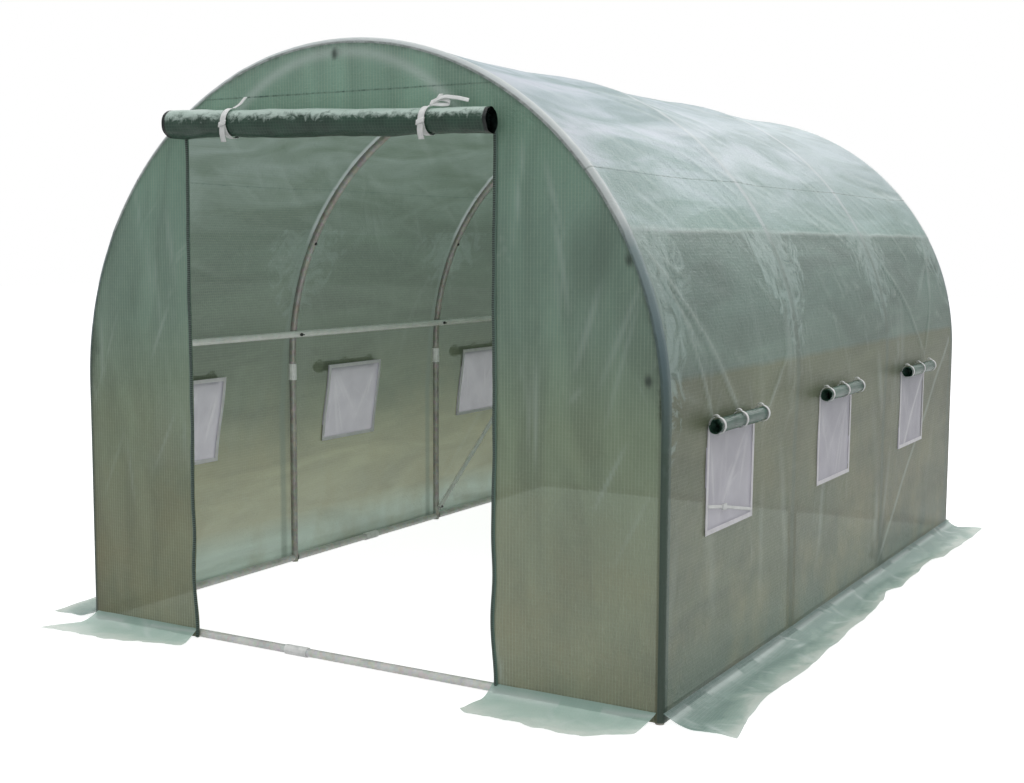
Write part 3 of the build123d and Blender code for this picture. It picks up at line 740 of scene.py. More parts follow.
def end_sheet(name, side, lefts, foot, seed, steps, film):
    """A piece of an end wall: columns at lefts, from the height foot up to the arch."""
    levels = np.linspace(0, 1, steps)
    x, t = np.meshgrid(lefts, levels)
    z = foot + t * (arch_top(x) - foot)
    shift = np.zeros_like(x)
    if side < 0:
        for jamb in (DOOR_LEFT, DOOR_RIGHT):
            shift += np.where(z < DOOR_TOP, jamb_sway(z) * np.exp(-np.abs(x - jamb) / 0.03), 0)
    creases = np.random.default_rng(seed + 50)
    lines = scatter(creases, 16, (lefts[0], lefts[-1]), (0.1, 1.5), 84, 22, 0.30, 0.0022, 0.008)
    lines += scatter(creases, 10, (lefts[0], lefts[-1]), (0.7, 1.6), 60, 60, 0.10, 0.0018, 0.006)
    out = end_relief(x, z, seed) + crease_height(x, z, lines)
    if side < 0:
        jamb = np.minimum(np.abs(x - DOOR_LEFT), np.abs(x - DOOR_RIGHT))
        out = out * np.clip(np.where(z < DOOR_TOP + 0.01, jamb / 0.07, 1.0), 0.05, 1)
    y = side * (END_Y + np.clip(out, -0.0035, 0.008))
    flat_u, points = (x, (x + shift, y, z)) if side < 0 else (-x, (x, y, z))
    piece, row, column = sheet_grid(name, flat_u, z, np.stack(points, axis=-1))
    # Pale along the creases and, over the doorway, in an arc: painted highlights.
    pale = np.abs(crease_height(x, z, lines)) / 0.0035
    if foot > 1:
        pale = np.maximum(pale, np.exp(-((np.hypot(x, z - HIGHLIGHT_ARC_Z) - HIGHLIGHT_ARC_R) / 0.016) ** 2))
    pressed = np.zeros_like(x)
    if side < 0:
        for screw_x, screw_z in SCREWS:
            pressed = np.maximum(pressed, soft_spot(x, z, screw_x, screw_z, SCREW_W, SCREW_H))
        pressed = np.maximum(pressed, 0.28 * soft_spot(x, z, DARK_OVAL_X, DARK_OVAL_Z, DARK_OVAL_W, DARK_OVAL_H))
    # Along the rim the puckers of the seam get painted shade.
    rim = ARCH_R - np.where(z > SPRING_Z, np.hypot(x, z - SPRING_Z), np.abs(x))
    turn = np.arctan2(np.maximum(z - SPRING_Z, 0), x)
    puckers = 0.7 + 0.3 * np.sin(turn * 170 + 2 * np.sin(turn * 31))
    pressed = np.maximum(pressed, 0.5 * np.exp(-(rim / 0.006) ** 2) * puckers)
    paint(piece, "crease", pale[row, column])
    paint(piece, "pressed", pressed[row, column])
    if side > 0:
        begin_edit()
        bpy.ops.mesh.flip_normals()
        bpy.ops.object.mode_set(mode="OBJECT")
    piece.data.materials.append(film)
    return piece


def arch_columns(start, stop, step):
    """Columns close together where the arch is steep, at its edges."""
    angles = np.linspace(math.acos(np.clip(start, -1, 1)), math.acos(np.clip(stop, -1, 1)),
                         max(2, round((stop - start) / step)))
    return np.cos(angles)


def hang_wall(name, node, side, start, stop, foot, seed, columns, steps, film):
    """Makes the piece of an end wall from x = start to x = stop."""
    piece = end_sheet(name, side, columns, foot, seed, steps, film)
    dress(piece, [node])
    print(name, "is", round(stop - start, 3), "m wide")


hang_wall("front_film_right", "front_wall_right", -1, DOOR_RIGHT, 1.0, HEM_Z, 11,
          arch_columns(DOOR_RIGHT, 1.0, 0.007), 190, end_film)
hang_wall("front_film_left", "front_wall_left", -1, -1.0, DOOR_LEFT, HEM_Z, 12,
          arch_columns(-1.0, DOOR_LEFT, 0.007), 190, end_film)
hang_wall("front_film_top", "front_wall_top", -1, DOOR_LEFT, DOOR_RIGHT, DOOR_TOP, 13,
          np.linspace(DOOR_LEFT, DOOR_RIGHT, 150), 34, tympanum_film)
hang_wall("rear_film", "rear_wall", 1, -1.0, 1.0, HEM_Z, 14, arch_columns(-1.0, 1.0, 0.012), 120,
          end_film)

# %% [markdown]
# ## Ground skirt
# Below the base rail the film runs on as a loose flap. It slopes down from the rail, lies on the ground and
# is slit at the corners, so each side is a strip of its own with a wavy, creased edge.

# %% Skirts
SKIRT_RISE = 0.032  # the skirt leaves the wall above the base rail
SKIRT_W = 0.2  # of the flat strip


def skirt_strip(name, length, steps, reach, seed, place, spread=(0, 0)):
    """A strip hung along a rail. reach(t) is how far out it lies at t from 0 to 1 along the rail."""
    shape = np.random.default_rng(seed)
    t, v = np.meshgrid(np.linspace(0, 1, steps), np.linspace(0, 1, 26))
    out_to = reach(t)
    along = (t - 0.5) * length + (spread[0] * (1 - t) + spread[1] * t) * v
    lands_at = 0.070 + 0.02 * np.sin(t * length * 5 + seed)
    rise = SKIRT_RISE * np.clip(1 - v * out_to / lands_at, 0, 1) ** 1.6
    loose = v ** 1.2
    ripple = np.abs(swell(shape, along, v * SKIRT_W, (0.62, 0.5), 0.0085)) * loose
    ripple += np.abs(swell(shape, along, v * SKIRT_W, (0.2, 0.3), 0.0012)) * loose
    lines = scatter(shape, int(14 * length), (-length / 2, length / 2), (0.02, SKIRT_W), 70, 60, 0.12,
                    0.004, 0.009)
    ripple += np.maximum(crease_height(along, v * SKIRT_W, lines), -0.001) * (0.3 + 0.7 * v)
    z = np.maximum(rise + ripple + 0.0012, 0.0012)
    x, y = place(along, out_to * v)
    piece, row, column = sheet_grid(name, along, v * SKIRT_W, np.stack([x, y, z], axis=-1))
    # A pale band along the bend out from the rail and pale creases: painted highlights. The outer edge gets a
    # pale band as well.
    pale = 0.8 * np.exp(-((v - 0.12) / 0.05) ** 2) * (np.sin(along * 17 + seed) > -0.5)
    pale = np.maximum(pale, np.abs(crease_height(along, v * SKIRT_W, lines)) / 0.004)
    paint(piece, "crease", np.maximum(pale, 0.8 * np.exp(-((1 - v) / 0.03) ** 2))[row, column])
    return piece


def through_points(points):
    """A smooth edge through (place from 0 to 1, reach in metres)."""
    places, reaches = zip(*points)
    return lambda t: np.interp(t, places, reaches) + 0.003 * np.sin(t * 41) + 0.0012 * np.sin(t * 97 + 1)


SIDE_X = ARCH_R + STAND_OFF
right_edge = through_points([(0.0, 0.200), (0.055, 0.165), (0.16, 0.150), (0.22, 0.162), (0.33, 0.148),
                             (0.46, 0.146), (0.55, 0.108), (0.58, 0.130), (0.70, 0.118), (0.80, 0.140),
                             (0.87, 0.150), (1.0, 0.148)])
skirt_right = skirt_strip("skirt_right", 3.03, 260, right_edge, 21, lambda a, o: (SIDE_X + o, a),
                          (0.0, 0.04))
left_edge = through_points([(0.0, 0.190), (0.06, 0.20), (0.2, 0.185), (0.4, 0.16), (0.6, 0.175),
                            (0.8, 0.15), (1.0, 0.18)])
skirt_left = skirt_strip("skirt_left", 3.03, 260, left_edge, 22, lambda a, o: (-SIDE_X - o, a), (0.0, 0.02))
front_edge = through_points([(0.0, 0.15), (0.1, 0.185), (0.5, 0.195), (0.8, 0.175), (1.0, 0.10)])
middle = (DOOR_RIGHT + 1.0) / 2
skirt_front_right = skirt_strip("skirt_front_right", 0.49, 60, front_edge, 23,
                                lambda a, o: (middle + a, -END_Y - o), (-0.012, -0.02))
left_front_edge = through_points([(0.0, 0.165), (0.3, 0.16), (0.7, 0.145), (1.0, 0.10)])
left_middle = (DOOR_LEFT - 1.0) / 2
skirt_front_left = skirt_strip("skirt_front_left", 0.43, 60, left_front_edge, 24,
                               lambda a, o: (left_middle + a, -END_Y - o), (-0.09, 0.02))
rear_edge = through_points([(0.0, 0.17), (0.2, 0.19), (0.5, 0.16), (0.8, 0.185), (1.0, 0.16)])
skirt_rear = skirt_strip("skirt_rear", 2.0, 200, rear_edge, 25, lambda a, o: (a, END_Y + o), (0, 0))


def skirt_material(name, tones):
    """The same film in one thickness on bare ground. tones: from the rail out to the edge of the strip."""
    material = new_material(name)
    place = add_node(material, "TexCoord")
    flat = add_node(material, "SeparateXYZ", {0: place.outputs["UV"]})
    cloud = add_node(material, "TexNoise",
                     {"Vector": place.outputs["UV"], "Scale": 5.0, "Detail": 4.0, "Roughness": 0.6,
                      "Distortion": 0.8})
    uneven = add_node(material, "MapRange", {0: cloud, 1: 0.3, 2: 0.7, 3: -0.05, 4: 0.05})
    out = add_node(material, "Math", {0: flat.outputs["Y"], 1: uneven}, operation="ADD")
    out = add_node(material, "Math", {0: out, 1: SKIRT_W}, operation="DIVIDE")
    tone = add_node(material, "ValToRGB", {0: out}, stops=tones)
    thread = weave(material, flat, THREAD_PITCH, THREAD_WIDTH)
    thread = add_node(material, "Math", {0: thread, 1: 0.10}, operation="MULTIPLY")
    colour = add_node(material, "Mix", {0: thread, 6: tone, 7: "#d6dfda"}, data_type="RGBA")
    # Pale along the creases: a painted highlight.
    crease_highlight = add_node(material, "Attribute", attribute_name="crease").outputs["Fac"]
    crease_highlight = add_node(material, "Math", {0: crease_highlight, 1: 0.6}, operation="MULTIPLY")
    colour = add_node(material, "Mix", {0: crease_highlight, 6: colour, 7: "#e2eaea"}, data_type="RGBA")
    crinkle = add_node(material, "TexNoise",
                       {"Vector": place.outputs["Object"], "Scale": 30.0, "Detail": 6.0, "Roughness": 0.66,
                        "Distortion": 1.4})
    bump = add_node(material, "Bump", {"Height": crinkle, "Strength": 0.6, "Distance": 0.006})
    face = add_node(material, "BsdfPrincipled",
                    {"Base Color": colour, "Roughness": 0.30, "IOR": 1.5, "Normal": bump})
    mixed = lit_through(material, face, colour, 0.25)
    see = add_node(material, "BsdfTransparent", {"Color": "#d5e6dc"})
    shader = add_node(material, "MixShader", {0: 0.16, 1: mixed, 2: see})
    return close_material(material, shader)


side_skirt_film = skirt_material("woven_polyethylene_side_skirt", [
    (0.0, "#607e77"), (0.45, "#6d8b84"), (0.72, "#99b0a7"), (0.95, "#ced5ce")])
# The end skirts take a paler copy of the film: painted light, as the lamps light them less than the sides.
end_skirt_film = skirt_material("woven_polyethylene_end_skirt", [
    (0.0, "#a8c7bd"), (0.5, "#c0d6cd"), (0.95, "#e9efe9")])
for piece, node, length in ((skirt_right, "right_skirt", 3.03), (skirt_left, "left_skirt", 3.03),
                            (skirt_front_right, "front_skirt_right", 0.49),
                            (skirt_front_left, "front_skirt_left", 0.43), (skirt_rear, "rear_skirt", 2.0)):
    piece.data.materials.append(side_skirt_film if length > 3 else end_skirt_film)
    dress(piece, [node])
print("skirts made")

# %% [markdown]
# ## Window screens
# Behind each window an insect screen of fine white mesh is sewn in, and a white hem binds its edge on both
# faces. The mesh sags and creases a little between its hems.

# %% Screens
def screen_grid(name, word, y, inset, size, sag, seed, brace=None):
    """brace: the line where the pale brace tube shows through the mesh from inside, painted on it as a pale
    line.
    """
    width, height = size
    u, v = np.meshgrid(np.linspace(-width / 2, width / 2, 50), np.linspace(-height / 2, height / 2, 44))
    shape = np.random.default_rng(seed)
    lines = fan(shape, width / 2 - 0.03, height / 2 - 0.01, 250, 28, 5, 0.34, 0.0034, 0.007)
    lines += fan(shape, -width / 2 + 0.03, height / 2 - 0.01, 285, 20, 3, 0.26, 0.0030, 0.007)
    lines += scatter(shape, 5, (-0.1, 0.1), (-0.1, 0.1), 60, 40, 0.14, 0.0020, 0.006)
    give = np.cos(math.pi * u / width) * np.cos(math.pi * v / height)
    folds = crease_height(u, v, lines) * np.clip(give * 3, 0, 1) * (sag > 0)
    x = SIDE_X - inset - sag * give + folds
    z = (WINDOW_TOP + WINDOW_BOTTOM) / 2 + v
    if word == "left":
        x, u = -x, -u
    place = y + u + window_shift(y + u, z, word)
    piece, row, column = sheet_grid(name, u, v, np.stack([x, place, z], axis=-1))
    # Pale along the folds, a painted highlight, and along the brace a pale painted line.
    pale = np.abs(folds) / 0.003
    if brace:
        pale = np.maximum(pale, 1.4 * near_line(u, v, brace, 0.008))
    paint(piece, "crease", pale[row, column])
    return piece


def insect_mesh():
    """Knitted white polyethylene net: threads about 1 mm apart, drawn 3 mm apart so that they show."""
    material = new_material("knitted_insect_net")
    place = add_node(material, "TexCoord")
    flat = add_node(material, "SeparateXYZ", {0: place.outputs["UV"]})
    thread = weave(material, flat, 0.003, 0.0022)
    cover_share = add_node(material, "MapRange", {0: thread, 1: 0.0, 2: 1.0, 3: 0.82, 4: 1.0})
    cloud = add_node(material, "TexNoise", {"Vector": place.outputs["UV"], "Scale": 9.0, "Detail": 2.0})
    shade = add_node(material, "ValToRGB", {0: cloud}, stops=[(0.3, "#cac8d2"), (0.7, "#dad8e1")])
    # Pale where the crease attribute is set: a painted highlight on the folds, and the brace's pale line.
    crease_highlight = add_node(material, "Attribute", attribute_name="crease").outputs["Fac"]
    crease_highlight = add_node(material, "Math", {0: crease_highlight, 1: 0.7}, operation="MULTIPLY")
    colour = add_node(material, "Mix", {0: crease_highlight, 6: shade, 7: "#f2f1f6"}, data_type="RGBA")
    fibre = add_node(material, "BsdfDiffuse", {"Color": colour})
    body = lit_through(material, fibre, colour, 0.22)
    hole = add_node(material, "BsdfTransparent", {"Color": (1, 1, 1, 1)})
    shader = add_node(material, "MixShader", {0: cover_share, 1: hole, 2: body})
    return close_material(material, shader)


def woven_strap(name, colour, light_through=0.1):
    """White woven polypropylene tape: ribs across it, about 1.5 mm apart."""
    material = new_material(name)
    place = add_node(material, "TexCoord")
    flat = add_node(material, "SeparateXYZ", {0: place.outputs["UV"]})
    rib = thread_mask(material, flat, "Y", 0.003, 0.002)
    grime = add_node(material, "TexNoise",
                     {"Vector": place.outputs["Object"], "Scale": 40.0, "Detail": 3.0})
    shade = add_node(material, "MapRange", {0: grime, 1: 0.3, 2: 0.7, 3: 0.86, 4: 1.0})
    tone = add_node(material, "Mix", {0: 1.0, 6: colour, 7: shade}, data_type="RGBA", blend_type="MULTIPLY")
    bump = add_node(material, "Bump", {"Height": rib, "Strength": 0.5, "Distance": 0.0006})
    face = add_node(material, "BsdfPrincipled", {"Base Color": tone, "Roughness": 0.75, "Normal": bump})
    return close_material(material, lit_through(material, face, tone, light_through))


net = insect_mesh()
strap_tape = woven_strap("woven_polypropylene_tape", "#f3f5f4")
hem_tape = woven_strap("woven_hem_tape", "#fbfafd", 0.25)
HEM_W = 0.009
HEM_OVERLAP = 0.006  # of the mesh over the film round the window
for word in ("right", "left"):
    for number, y in enumerate(WINDOWS_Y[word], 1):
        size = (WINDOW_W + 2 * HEM_OVERLAP, WINDOW_TOP - WINDOW_BOTTOM + 2 * HEM_OVERLAP)
        brace = (-0.08, -0.143, 0.17, 0.12) if (word, number) == ("right", 3) else None
        screen = screen_grid(f"screen_{word}_{number}", word, y, 0.0030, size, 0.004, 60 + number, brace)
        screen.data.materials.append(net)
        dress(screen, [f"{word}_window_screens"])
        for face, inset in (("outer", -0.0012), ("inner", 0.0088)):
            hem = screen_grid(f"screen_hem_{face}_{word}_{number}", word, y, inset, size, 0.0, 60 + number)
            inner_w, inner_h = WINDOW_W / 2 - HEM_W, (WINDOW_TOP - WINDOW_BOTTOM) / 2 - HEM_W
            middle_z = (WINDOW_TOP + WINDOW_BOTTOM) / 2
            delete_faces(hem, lambda c: abs(c.z - middle_z) < inner_h and
                         abs(c.y - y - float(window_shift(c.y, c.z, word))) < inner_w)
            hem.data.materials.append(hem_tape)
            dress(hem, [f"{word}_window_screens"])
print("screens made")

# %% [markdown]
# ## Rolled sheets
# The door and the window flaps are rolled up from below like a blind. A roll is one long strip wound in a
# spiral, a little loose and uneven, pinched where its ties hold it. Its ends show the turns round a dark
# hollow.

# %% Rolls
def rolled(name, width, core, turns, pitch, seed, place, ties, slack):
    """place(a, r, h): a along the roll, r outwards from the wall and h up, from the roll's middle."""
    shape = np.random.default_rng(seed)
    steps = round(turns * 30)
    turn = np.linspace(0, turns, steps + 1)
    a, t = np.meshgrid(np.linspace(-width / 2, width / 2, max(24, round(width / 0.02))), turn)
    angle = 2 * math.pi * (t - turns)
    radius = core + pitch * t
    outer = np.clip((t - (turns - 1.6)) / 1.6, 0, 1)
    radius = radius + outer * swell(shape, a, angle * 0.06, (0.45, 0.20), slack)
    radius -= outer * np.clip(swell(shape, a, angle * 0.09, (0.16, 0.12), slack * 0.8), -slack, slack)
    for tie_at in ties:
        radius -= 0.10 * radius * outer * np.exp(-((a - tie_at) / 0.018) ** 2)
    end = np.exp(-(width / 2 - np.abs(a)) / 0.02)
    along = a + np.sign(a) * end * 0.0035 * np.sin(t * 5.1 + seed)
    x, y, z = place(along, radius * np.cos(angle), radius * np.sin(angle))
    flat = 2 * math.pi * (core * t + pitch * t ** 2 / 2)
    piece, _, _ = sheet_grid(name, a, flat, np.stack([x, y, z], axis=-1))
    return piece, 2 * math.pi * (core * turns + pitch * turns ** 2 / 2)


def rolled_film(name, tones, gloss=0.5, light_through=0.0, zip_from=None, pale_above=None, slope=0.0):
    """The same film in many layers, which hide the light and read as deep satin green.

    zip_from: where the dark zip tape of the sheet's side edges starts, from the middle. pale_above: the
    height above which the roll's upper side is paler, a painted highlight, on a roll that rises by slope.
    """
    material = new_material(name)
    place = add_node(material, "TexCoord")
    flat = add_node(material, "SeparateXYZ", {0: place.outputs["UV"]})
    thread = weave(material, flat, THREAD_PITCH, THREAD_WIDTH)
    cloud = add_node(material, "TexNoise",
                     {"Vector": place.outputs["Object"], "Scale": 11.0, "Detail": 4.0, "Roughness": 0.6})
    tone = add_node(material, "ValToRGB", {0: cloud}, stops=tones)
    pale = add_node(material, "Math", {0: thread, 1: 0.05}, operation="MULTIPLY")
    colour = add_node(material, "Mix", {0: pale, 6: tone, 7: "#8fae9d"}, data_type="RGBA")
    wrinkle = add_node(material, "TexNoise",
                       {"Vector": place.outputs["Object"], "Scale": 42.0, "Detail": 5.0, "Roughness": 0.62,
                        "Distortion": 0.8})
    if pale_above is not None:
        spot = add_node(material, "SeparateXYZ", {0: place.outputs["Object"]})
        uneven = add_node(material, "MapRange", {0: wrinkle, 1: 0.3, 2: 0.7, 3: -0.014, 4: 0.014})
        tilt = add_node(material, "Math", {0: flat.outputs["X"], 1: -slope}, operation="MULTIPLY")
        level = add_node(material, "Math", {0: uneven, 1: tilt}, operation="ADD")
        height = add_node(material, "Math", {0: spot.outputs["Z"], 1: level}, operation="ADD")
        # The roll's upper side is paler: a painted highlight.
        top_highlight = add_node(material, "MapRange",
                             {0: height, 1: pale_above, 2: pale_above + 0.018, 3: 0.0, 4: 0.72})
        colour = add_node(material, "Mix", {0: top_highlight, 6: colour, 7: "#c9ddd4"}, data_type="RGBA")
    if zip_from is not None:
        out = add_node(material, "Math", {0: flat.outputs["X"], 1: 0.0}, operation="ABSOLUTE")
        edge = add_node(material, "MapRange",
                        {0: out, 1: zip_from - 0.001, 2: zip_from + 0.001, 3: 0.0, 4: 1.0})
        colour = add_node(material, "Mix", {0: edge, 6: colour, 7: "#121b19"}, data_type="RGBA")
    relief = add_node(material, "Math", {0: thread, 1: 0.12}, operation="MULTIPLY")
    relief = add_node(material, "Math", {0: wrinkle, 1: relief}, operation="ADD")
    bump = add_node(material, "Bump", {"Height": relief, "Strength": 0.7, "Distance": 0.004})
    face = add_node(material, "BsdfPrincipled",
                    {"Base Color": colour, "Roughness": 0.26, "IOR": 1.5, "Specular IOR Level": gloss,
                     "Normal": bump})
    return close_material(material, lit_through(material, face, colour, light_through))


roll_film = rolled_film("rolled_polyethylene_film", [(0.3, "#406254"), (0.7, "#587c6e")], light_through=0.3)
low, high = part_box("door_roll")
ROLL_X, ROLL_Y = (low[0] + high[0]) / 2, (low[1] + high[1]) / 2
ROLL_W = high[0] - low[0] - 0.007
ROLL_Z, ROLL_SLOPE = 1.5657, -0.028  # it hangs a little lower on the right
TIES_X = (-0.35, 0.329)


def tightness(a):
    """The sheet is wound tighter to the right: the roll's size at a, as a share of its loosest."""
    return 0.885 - 0.15 * a


def on_door_roll(a, r, h):
    k = tightness(a)
    return ROLL_X + a, ROLL_Y + (1 - k) * 0.04 + r * k, ROLL_Z + ROLL_SLOPE * a + h * k


door_roll, door_run = rolled("rolled_door", ROLL_W, 0.006, 9.5, 0.0041, 31, on_door_roll,
                             [x - ROLL_X for x in TIES_X], 0.0026)
door_film = rolled_film("rolled_door_film", [(0.3, "#20372c"), (0.7, "#314e40")], gloss=0.22,
                        zip_from=ROLL_W / 2 - 0.010, pale_above=ROLL_Z + 0.008, slope=ROLL_SLOPE)
door_roll.data.materials.append(door_film)
dress(door_roll, ["door_roll"])

FLAP_W = 0.365
FLAP_OUT = 1.0439  # from the middle of the tunnel to the roll's axis
FLAP_Z = {"right": 0.751, "left": 0.741}
for side, word in ((1, "right"), (-1, "left")):
    for number, y in enumerate(WINDOWS_Y[word], 1):
        flap, flap_run = rolled(f"window_flap_{word}_{number}", FLAP_W, 0.006, 4, 0.0039, 32 + number,
                                lambda a, r, h, s=side, m=y: (s * (FLAP_OUT - r), m + s * a,
                                                              FLAP_Z[word] + h),
                                [-0.15, 0, 0.15], 0.0014)
        flap.data.materials.append(roll_film)
        dress(flap, [f"{word}_window_rolls"])
print("door sheet", round(door_run, 3), "m long, window flap", round(flap_run, 3), "m")

# %% [markdown]
# ## Straps
# Flat white tapes hold the rolls. Each goes round its roll and is tied above it, and its ends hang loose. One
# more tape lies across the first window on the right, low down, with a knot in it.
# A tape is a narrow grid that follows a line of points, and then gets its thickness.

# %% Straps
def tape(name, line, across, width, thickness=0.0012, samples=60):
    """A tape whose middle follows line, a list of points, with its width along the vector across."""
    points = np.array(line, dtype=float)
    gaps = np.r_[0, np.cumsum(np.linalg.norm(np.diff(points, axis=0), axis=1))]
    at = np.linspace(0, gaps[-1], samples)
    middle = np.stack([np.interp(at, gaps, points[:, i]) for i in range(3)], axis=-1)
    for _ in range(3):
        middle[1:-1] = (middle[:-2] + 2 * middle[1:-1] + middle[2:]) / 4
    t, w = np.meshgrid(np.arange(samples), np.linspace(-0.5, 0.5, 5))
    across = np.broadcast_to(np.asarray(across, dtype=float), (samples, 3))
    place = middle[t] + across[t] * (w * width)[..., None]
    piece, _, _ = sheet_grid(name, w * width, at[t], place)
    thick = piece.modifiers.new("thickness", "SOLIDIFY")
    thick.thickness = thickness
    thick.offset = 0
    bpy.ops.object.modifier_apply(modifier=thick.name)
    return piece, gaps[-1]


def ring_line(place, radius, start, stop, count=40):
    """Points round a roll: angles in degrees, 0 pointing away from the wall, 90 up."""
    return [place(radius * math.cos(math.radians(a)), radius * math.sin(math.radians(a)))
            for a in np.linspace(start, stop, count)]


def join(pieces, name):
    clear_selection()
    for piece in pieces:
        piece.select_set(True)
    bpy.context.view_layer.objects.active = pieces[0]
    bpy.ops.object.join()
    pieces[0].name = pieces[0].data.name = name
    return pieces[0]


door_tapes = []
for x, bow in zip(TIES_X, (False, True)):
    k = tightness(x - ROLL_X)

    def at_tie(out, rise, x=x, k=k):
        return (x, ROLL_Y + (1 - k) * 0.04 - out, ROLL_Z + ROLL_SLOPE * (x - ROLL_X) + rise)

    rim = 0.0465 * k
    wrap = ring_line(at_tie, rim, 95, -230)
    back = 0.038 - (1 - k) * 0.04
    strap, _ = tape(f"door_tape_{x}", wrap, (1, 0, 0), 0.020)
    rise = [at_tie(-0.006, rim + 0.001), at_tie(-back * 0.6, rim + 0.012), at_tie(-back, rim + 0.034)]
    hanger, _ = tape(f"door_hanger_{x}", [(px + i * 0.010, py, pz) for i, (px, py, pz) in enumerate(rise)],
                     (1, 0, 0), 0.013, samples=16)
    tail, _ = tape(f"door_tail_{x}", [at_tie(rim + 0.002, -0.008), at_tie(rim + 0.004, -0.03),
                                      at_tie(rim - 0.004, -rim - 0.012)], (1, 0.1, 0), 0.017, samples=14)
    centre = at_tie(rim + 0.004, -0.004)
    knot, _ = tape(f"door_knot_{x}", [(centre[0] + dx, centre[1] + dy, centre[2] + dx * 0.3) for dx, dy in
                                      ((-0.012, 0.003), (-0.005, -0.001), (0.005, -0.001), (0.012, 0.003))],
                   (0, 0.2, 1), 0.013, thickness=0.006, samples=10)
    door_tapes += [strap, hanger, tail, knot]
    if bow:
        loops = [(0.0, -0.004, 0.0), (0.030, 0.006, 0.012), (0.058, 0.002, 0.006), (0.064, 0.0, -0.004),
                 (0.035, 0.002, -0.004), (0.0, -0.004, 0.0)]
        end = [(0.0, 0.0, 0.004), (0.04, 0.004, 0.018), (0.085, 0.002, 0.012), (0.12, 0.0, 0.004)]
        for number, route in enumerate((loops, end)):
            base = at_tie(-0.010, rim + 0.007)
            line = [tuple(b + d for b, d in zip(base, step)) for step in route]
            part, _ = tape(f"door_bow_{number}", line, (0, 0.5, 1), 0.010, samples=30)
            door_tapes.append(part)
door_straps = join(door_tapes, "door_straps")
door_straps.data.materials.append(strap_tape)
dress(door_straps, ["door_ties"])

for side, word in ((1, "right"), (-1, "left")):
    tapes = []
    for y in WINDOWS_Y[word]:
        for step in (-0.170, -0.005, 0.165):
            def at_flap(out, rise, y=y + step, side=side):
                return (side * (FLAP_OUT + out), y, FLAP_Z[word] + rise)

            ring = ring_line(at_flap, 0.0236, 100, -250, 34)
            strap, _ = tape("window_tape", ring, (0, 1, 0), 0.011, samples=44)
            over = [at_flap(0.004, 0.024), at_flap(-0.004, 0.030), at_flap(-0.012, 0.026)]
            knot, _ = tape("window_knot", over, (0, 1, 0), 0.008, thickness=0.003, samples=8)
            tapes += [strap, knot]
    if side > 0:
        y = WINDOWS_Y[word][0]
        loose = [(SIDE_X + 0.0015, y + dy, z) for dy, z in ((-0.165, 0.528), (-0.05, 0.511), (0.06, 0.490),
                                                           (0.165, 0.470))]
        low_strap, _ = tape("window_low_strap", loose, (0, 0, 1), 0.009, samples=30)
        lump = [(SIDE_X + 0.003, y - 0.05 + d, 0.511) for d in (-0.012, 0, 0.012)]
        low_knot, _ = tape("window_low_knot", lump, (0, 0, 1), 0.016, thickness=0.007, samples=8)
        tapes += [low_strap, low_knot]
    straps = join(tapes, f"window_straps_{word}")
    straps.data.materials.append(strap_tape)
    dress(straps, [f"{word}_window_ties"])
print("straps made")

# %% [markdown]
# ## Doorway zips
# Each edge of the doorway carries half of a zip on a dark tape, with small teeth, and wanders as the loose
# film does.

# %% Zips
ZIP_W = 0.013


def zip_strip(name, x0, inner):
    z = np.linspace(HEM_Z, DOOR_TOP, 300)
    u, t = np.meshgrid(np.linspace(0, ZIP_W, 8), z)
    x = x0 + inner * u + jamb_sway(t)
    y = -END_Y - 0.0032 - 0.0025 * np.sin(u / ZIP_W * math.pi) - 0.0015 * np.sin(t * 31) * np.sin(t * 7)
    piece, _, _ = sheet_grid(name, u, t, np.stack([x, y, t], axis=-1))
    return piece


def zip_tape():
    """Dyed polyester zip tape with moulded teeth, about 3 mm apart, drawn 6 mm apart so that they show."""
    material = new_material("polyester_zip_tape")
    place = add_node(material, "TexCoord")
    flat = add_node(material, "SeparateXYZ", {0: place.outputs["UV"]})
    tooth = thread_mask(material, flat, "Y", 0.006, 0.0045)
    column = add_node(material, "MapRange", {0: flat.outputs["X"], 1: 0.008, 2: 0.010, 3: 1.0, 4: 0.0})
    teeth = add_node(material, "Math", {0: tooth, 1: column}, operation="MULTIPLY")
    tone = add_node(material, "Mix", {0: teeth, 6: "#4d665b", 7: "#141d1a"}, data_type="RGBA")
    bump = add_node(material, "Bump", {"Height": teeth, "Strength": 0.8, "Distance": 0.002})
    face = add_node(material, "BsdfPrincipled", {"Base Color": tone, "Roughness": 0.55, "Normal": bump})
    return close_material(material, face)


zip_material = zip_tape()
for word, x0, inner in (("left", DOOR_LEFT, -1), ("right", DOOR_RIGHT, 1)):
    strip = zip_strip(f"zip_{word}", x0, inner)
    strip.data.materials.append(zip_material)
    dress(strip, [f"door_zip_{word}"])
print("zips made")

# %% [markdown]
# ## Frame tubes
# The hoops, rails, braces and purlins are thin galvanised steel tube, in three tones of painted light and
# shade: the upright hoops dull grey, the rails lighter, and the purlins and braces lightest, as they catch
# the light from above, lifted too against the dim light inside the tunnel. Each CAD tube is drawn with few
# sides, so a rounder one takes its place: a circle spun along an arch, or a cylinder whose ends are inset
# and pushed in to show the bore.

# %% Tube helpers
SIDES = 24
LEG_TOP = 0.749
PURLIN_X, PURLIN_Z, RIDGE_Z = 0.9695, 0.8855, 1.7597
TUBE_END = HALF_LENGTH + TUBE_R  # the purlins end flush with the end hoops
RAIL_Z = 0.0153
BESIDE_TUBE = 0.0128  # a rail's end stops just short of the leg
BESIDE_RAIL = 0.0002  # and of the next length of rail
BRACE_R, BRACE_FOOT, BRACE_TOP = 0.0095, (0.9777, 0.4935, 0.0545), (0.9757, 1.5065, 0.8305)


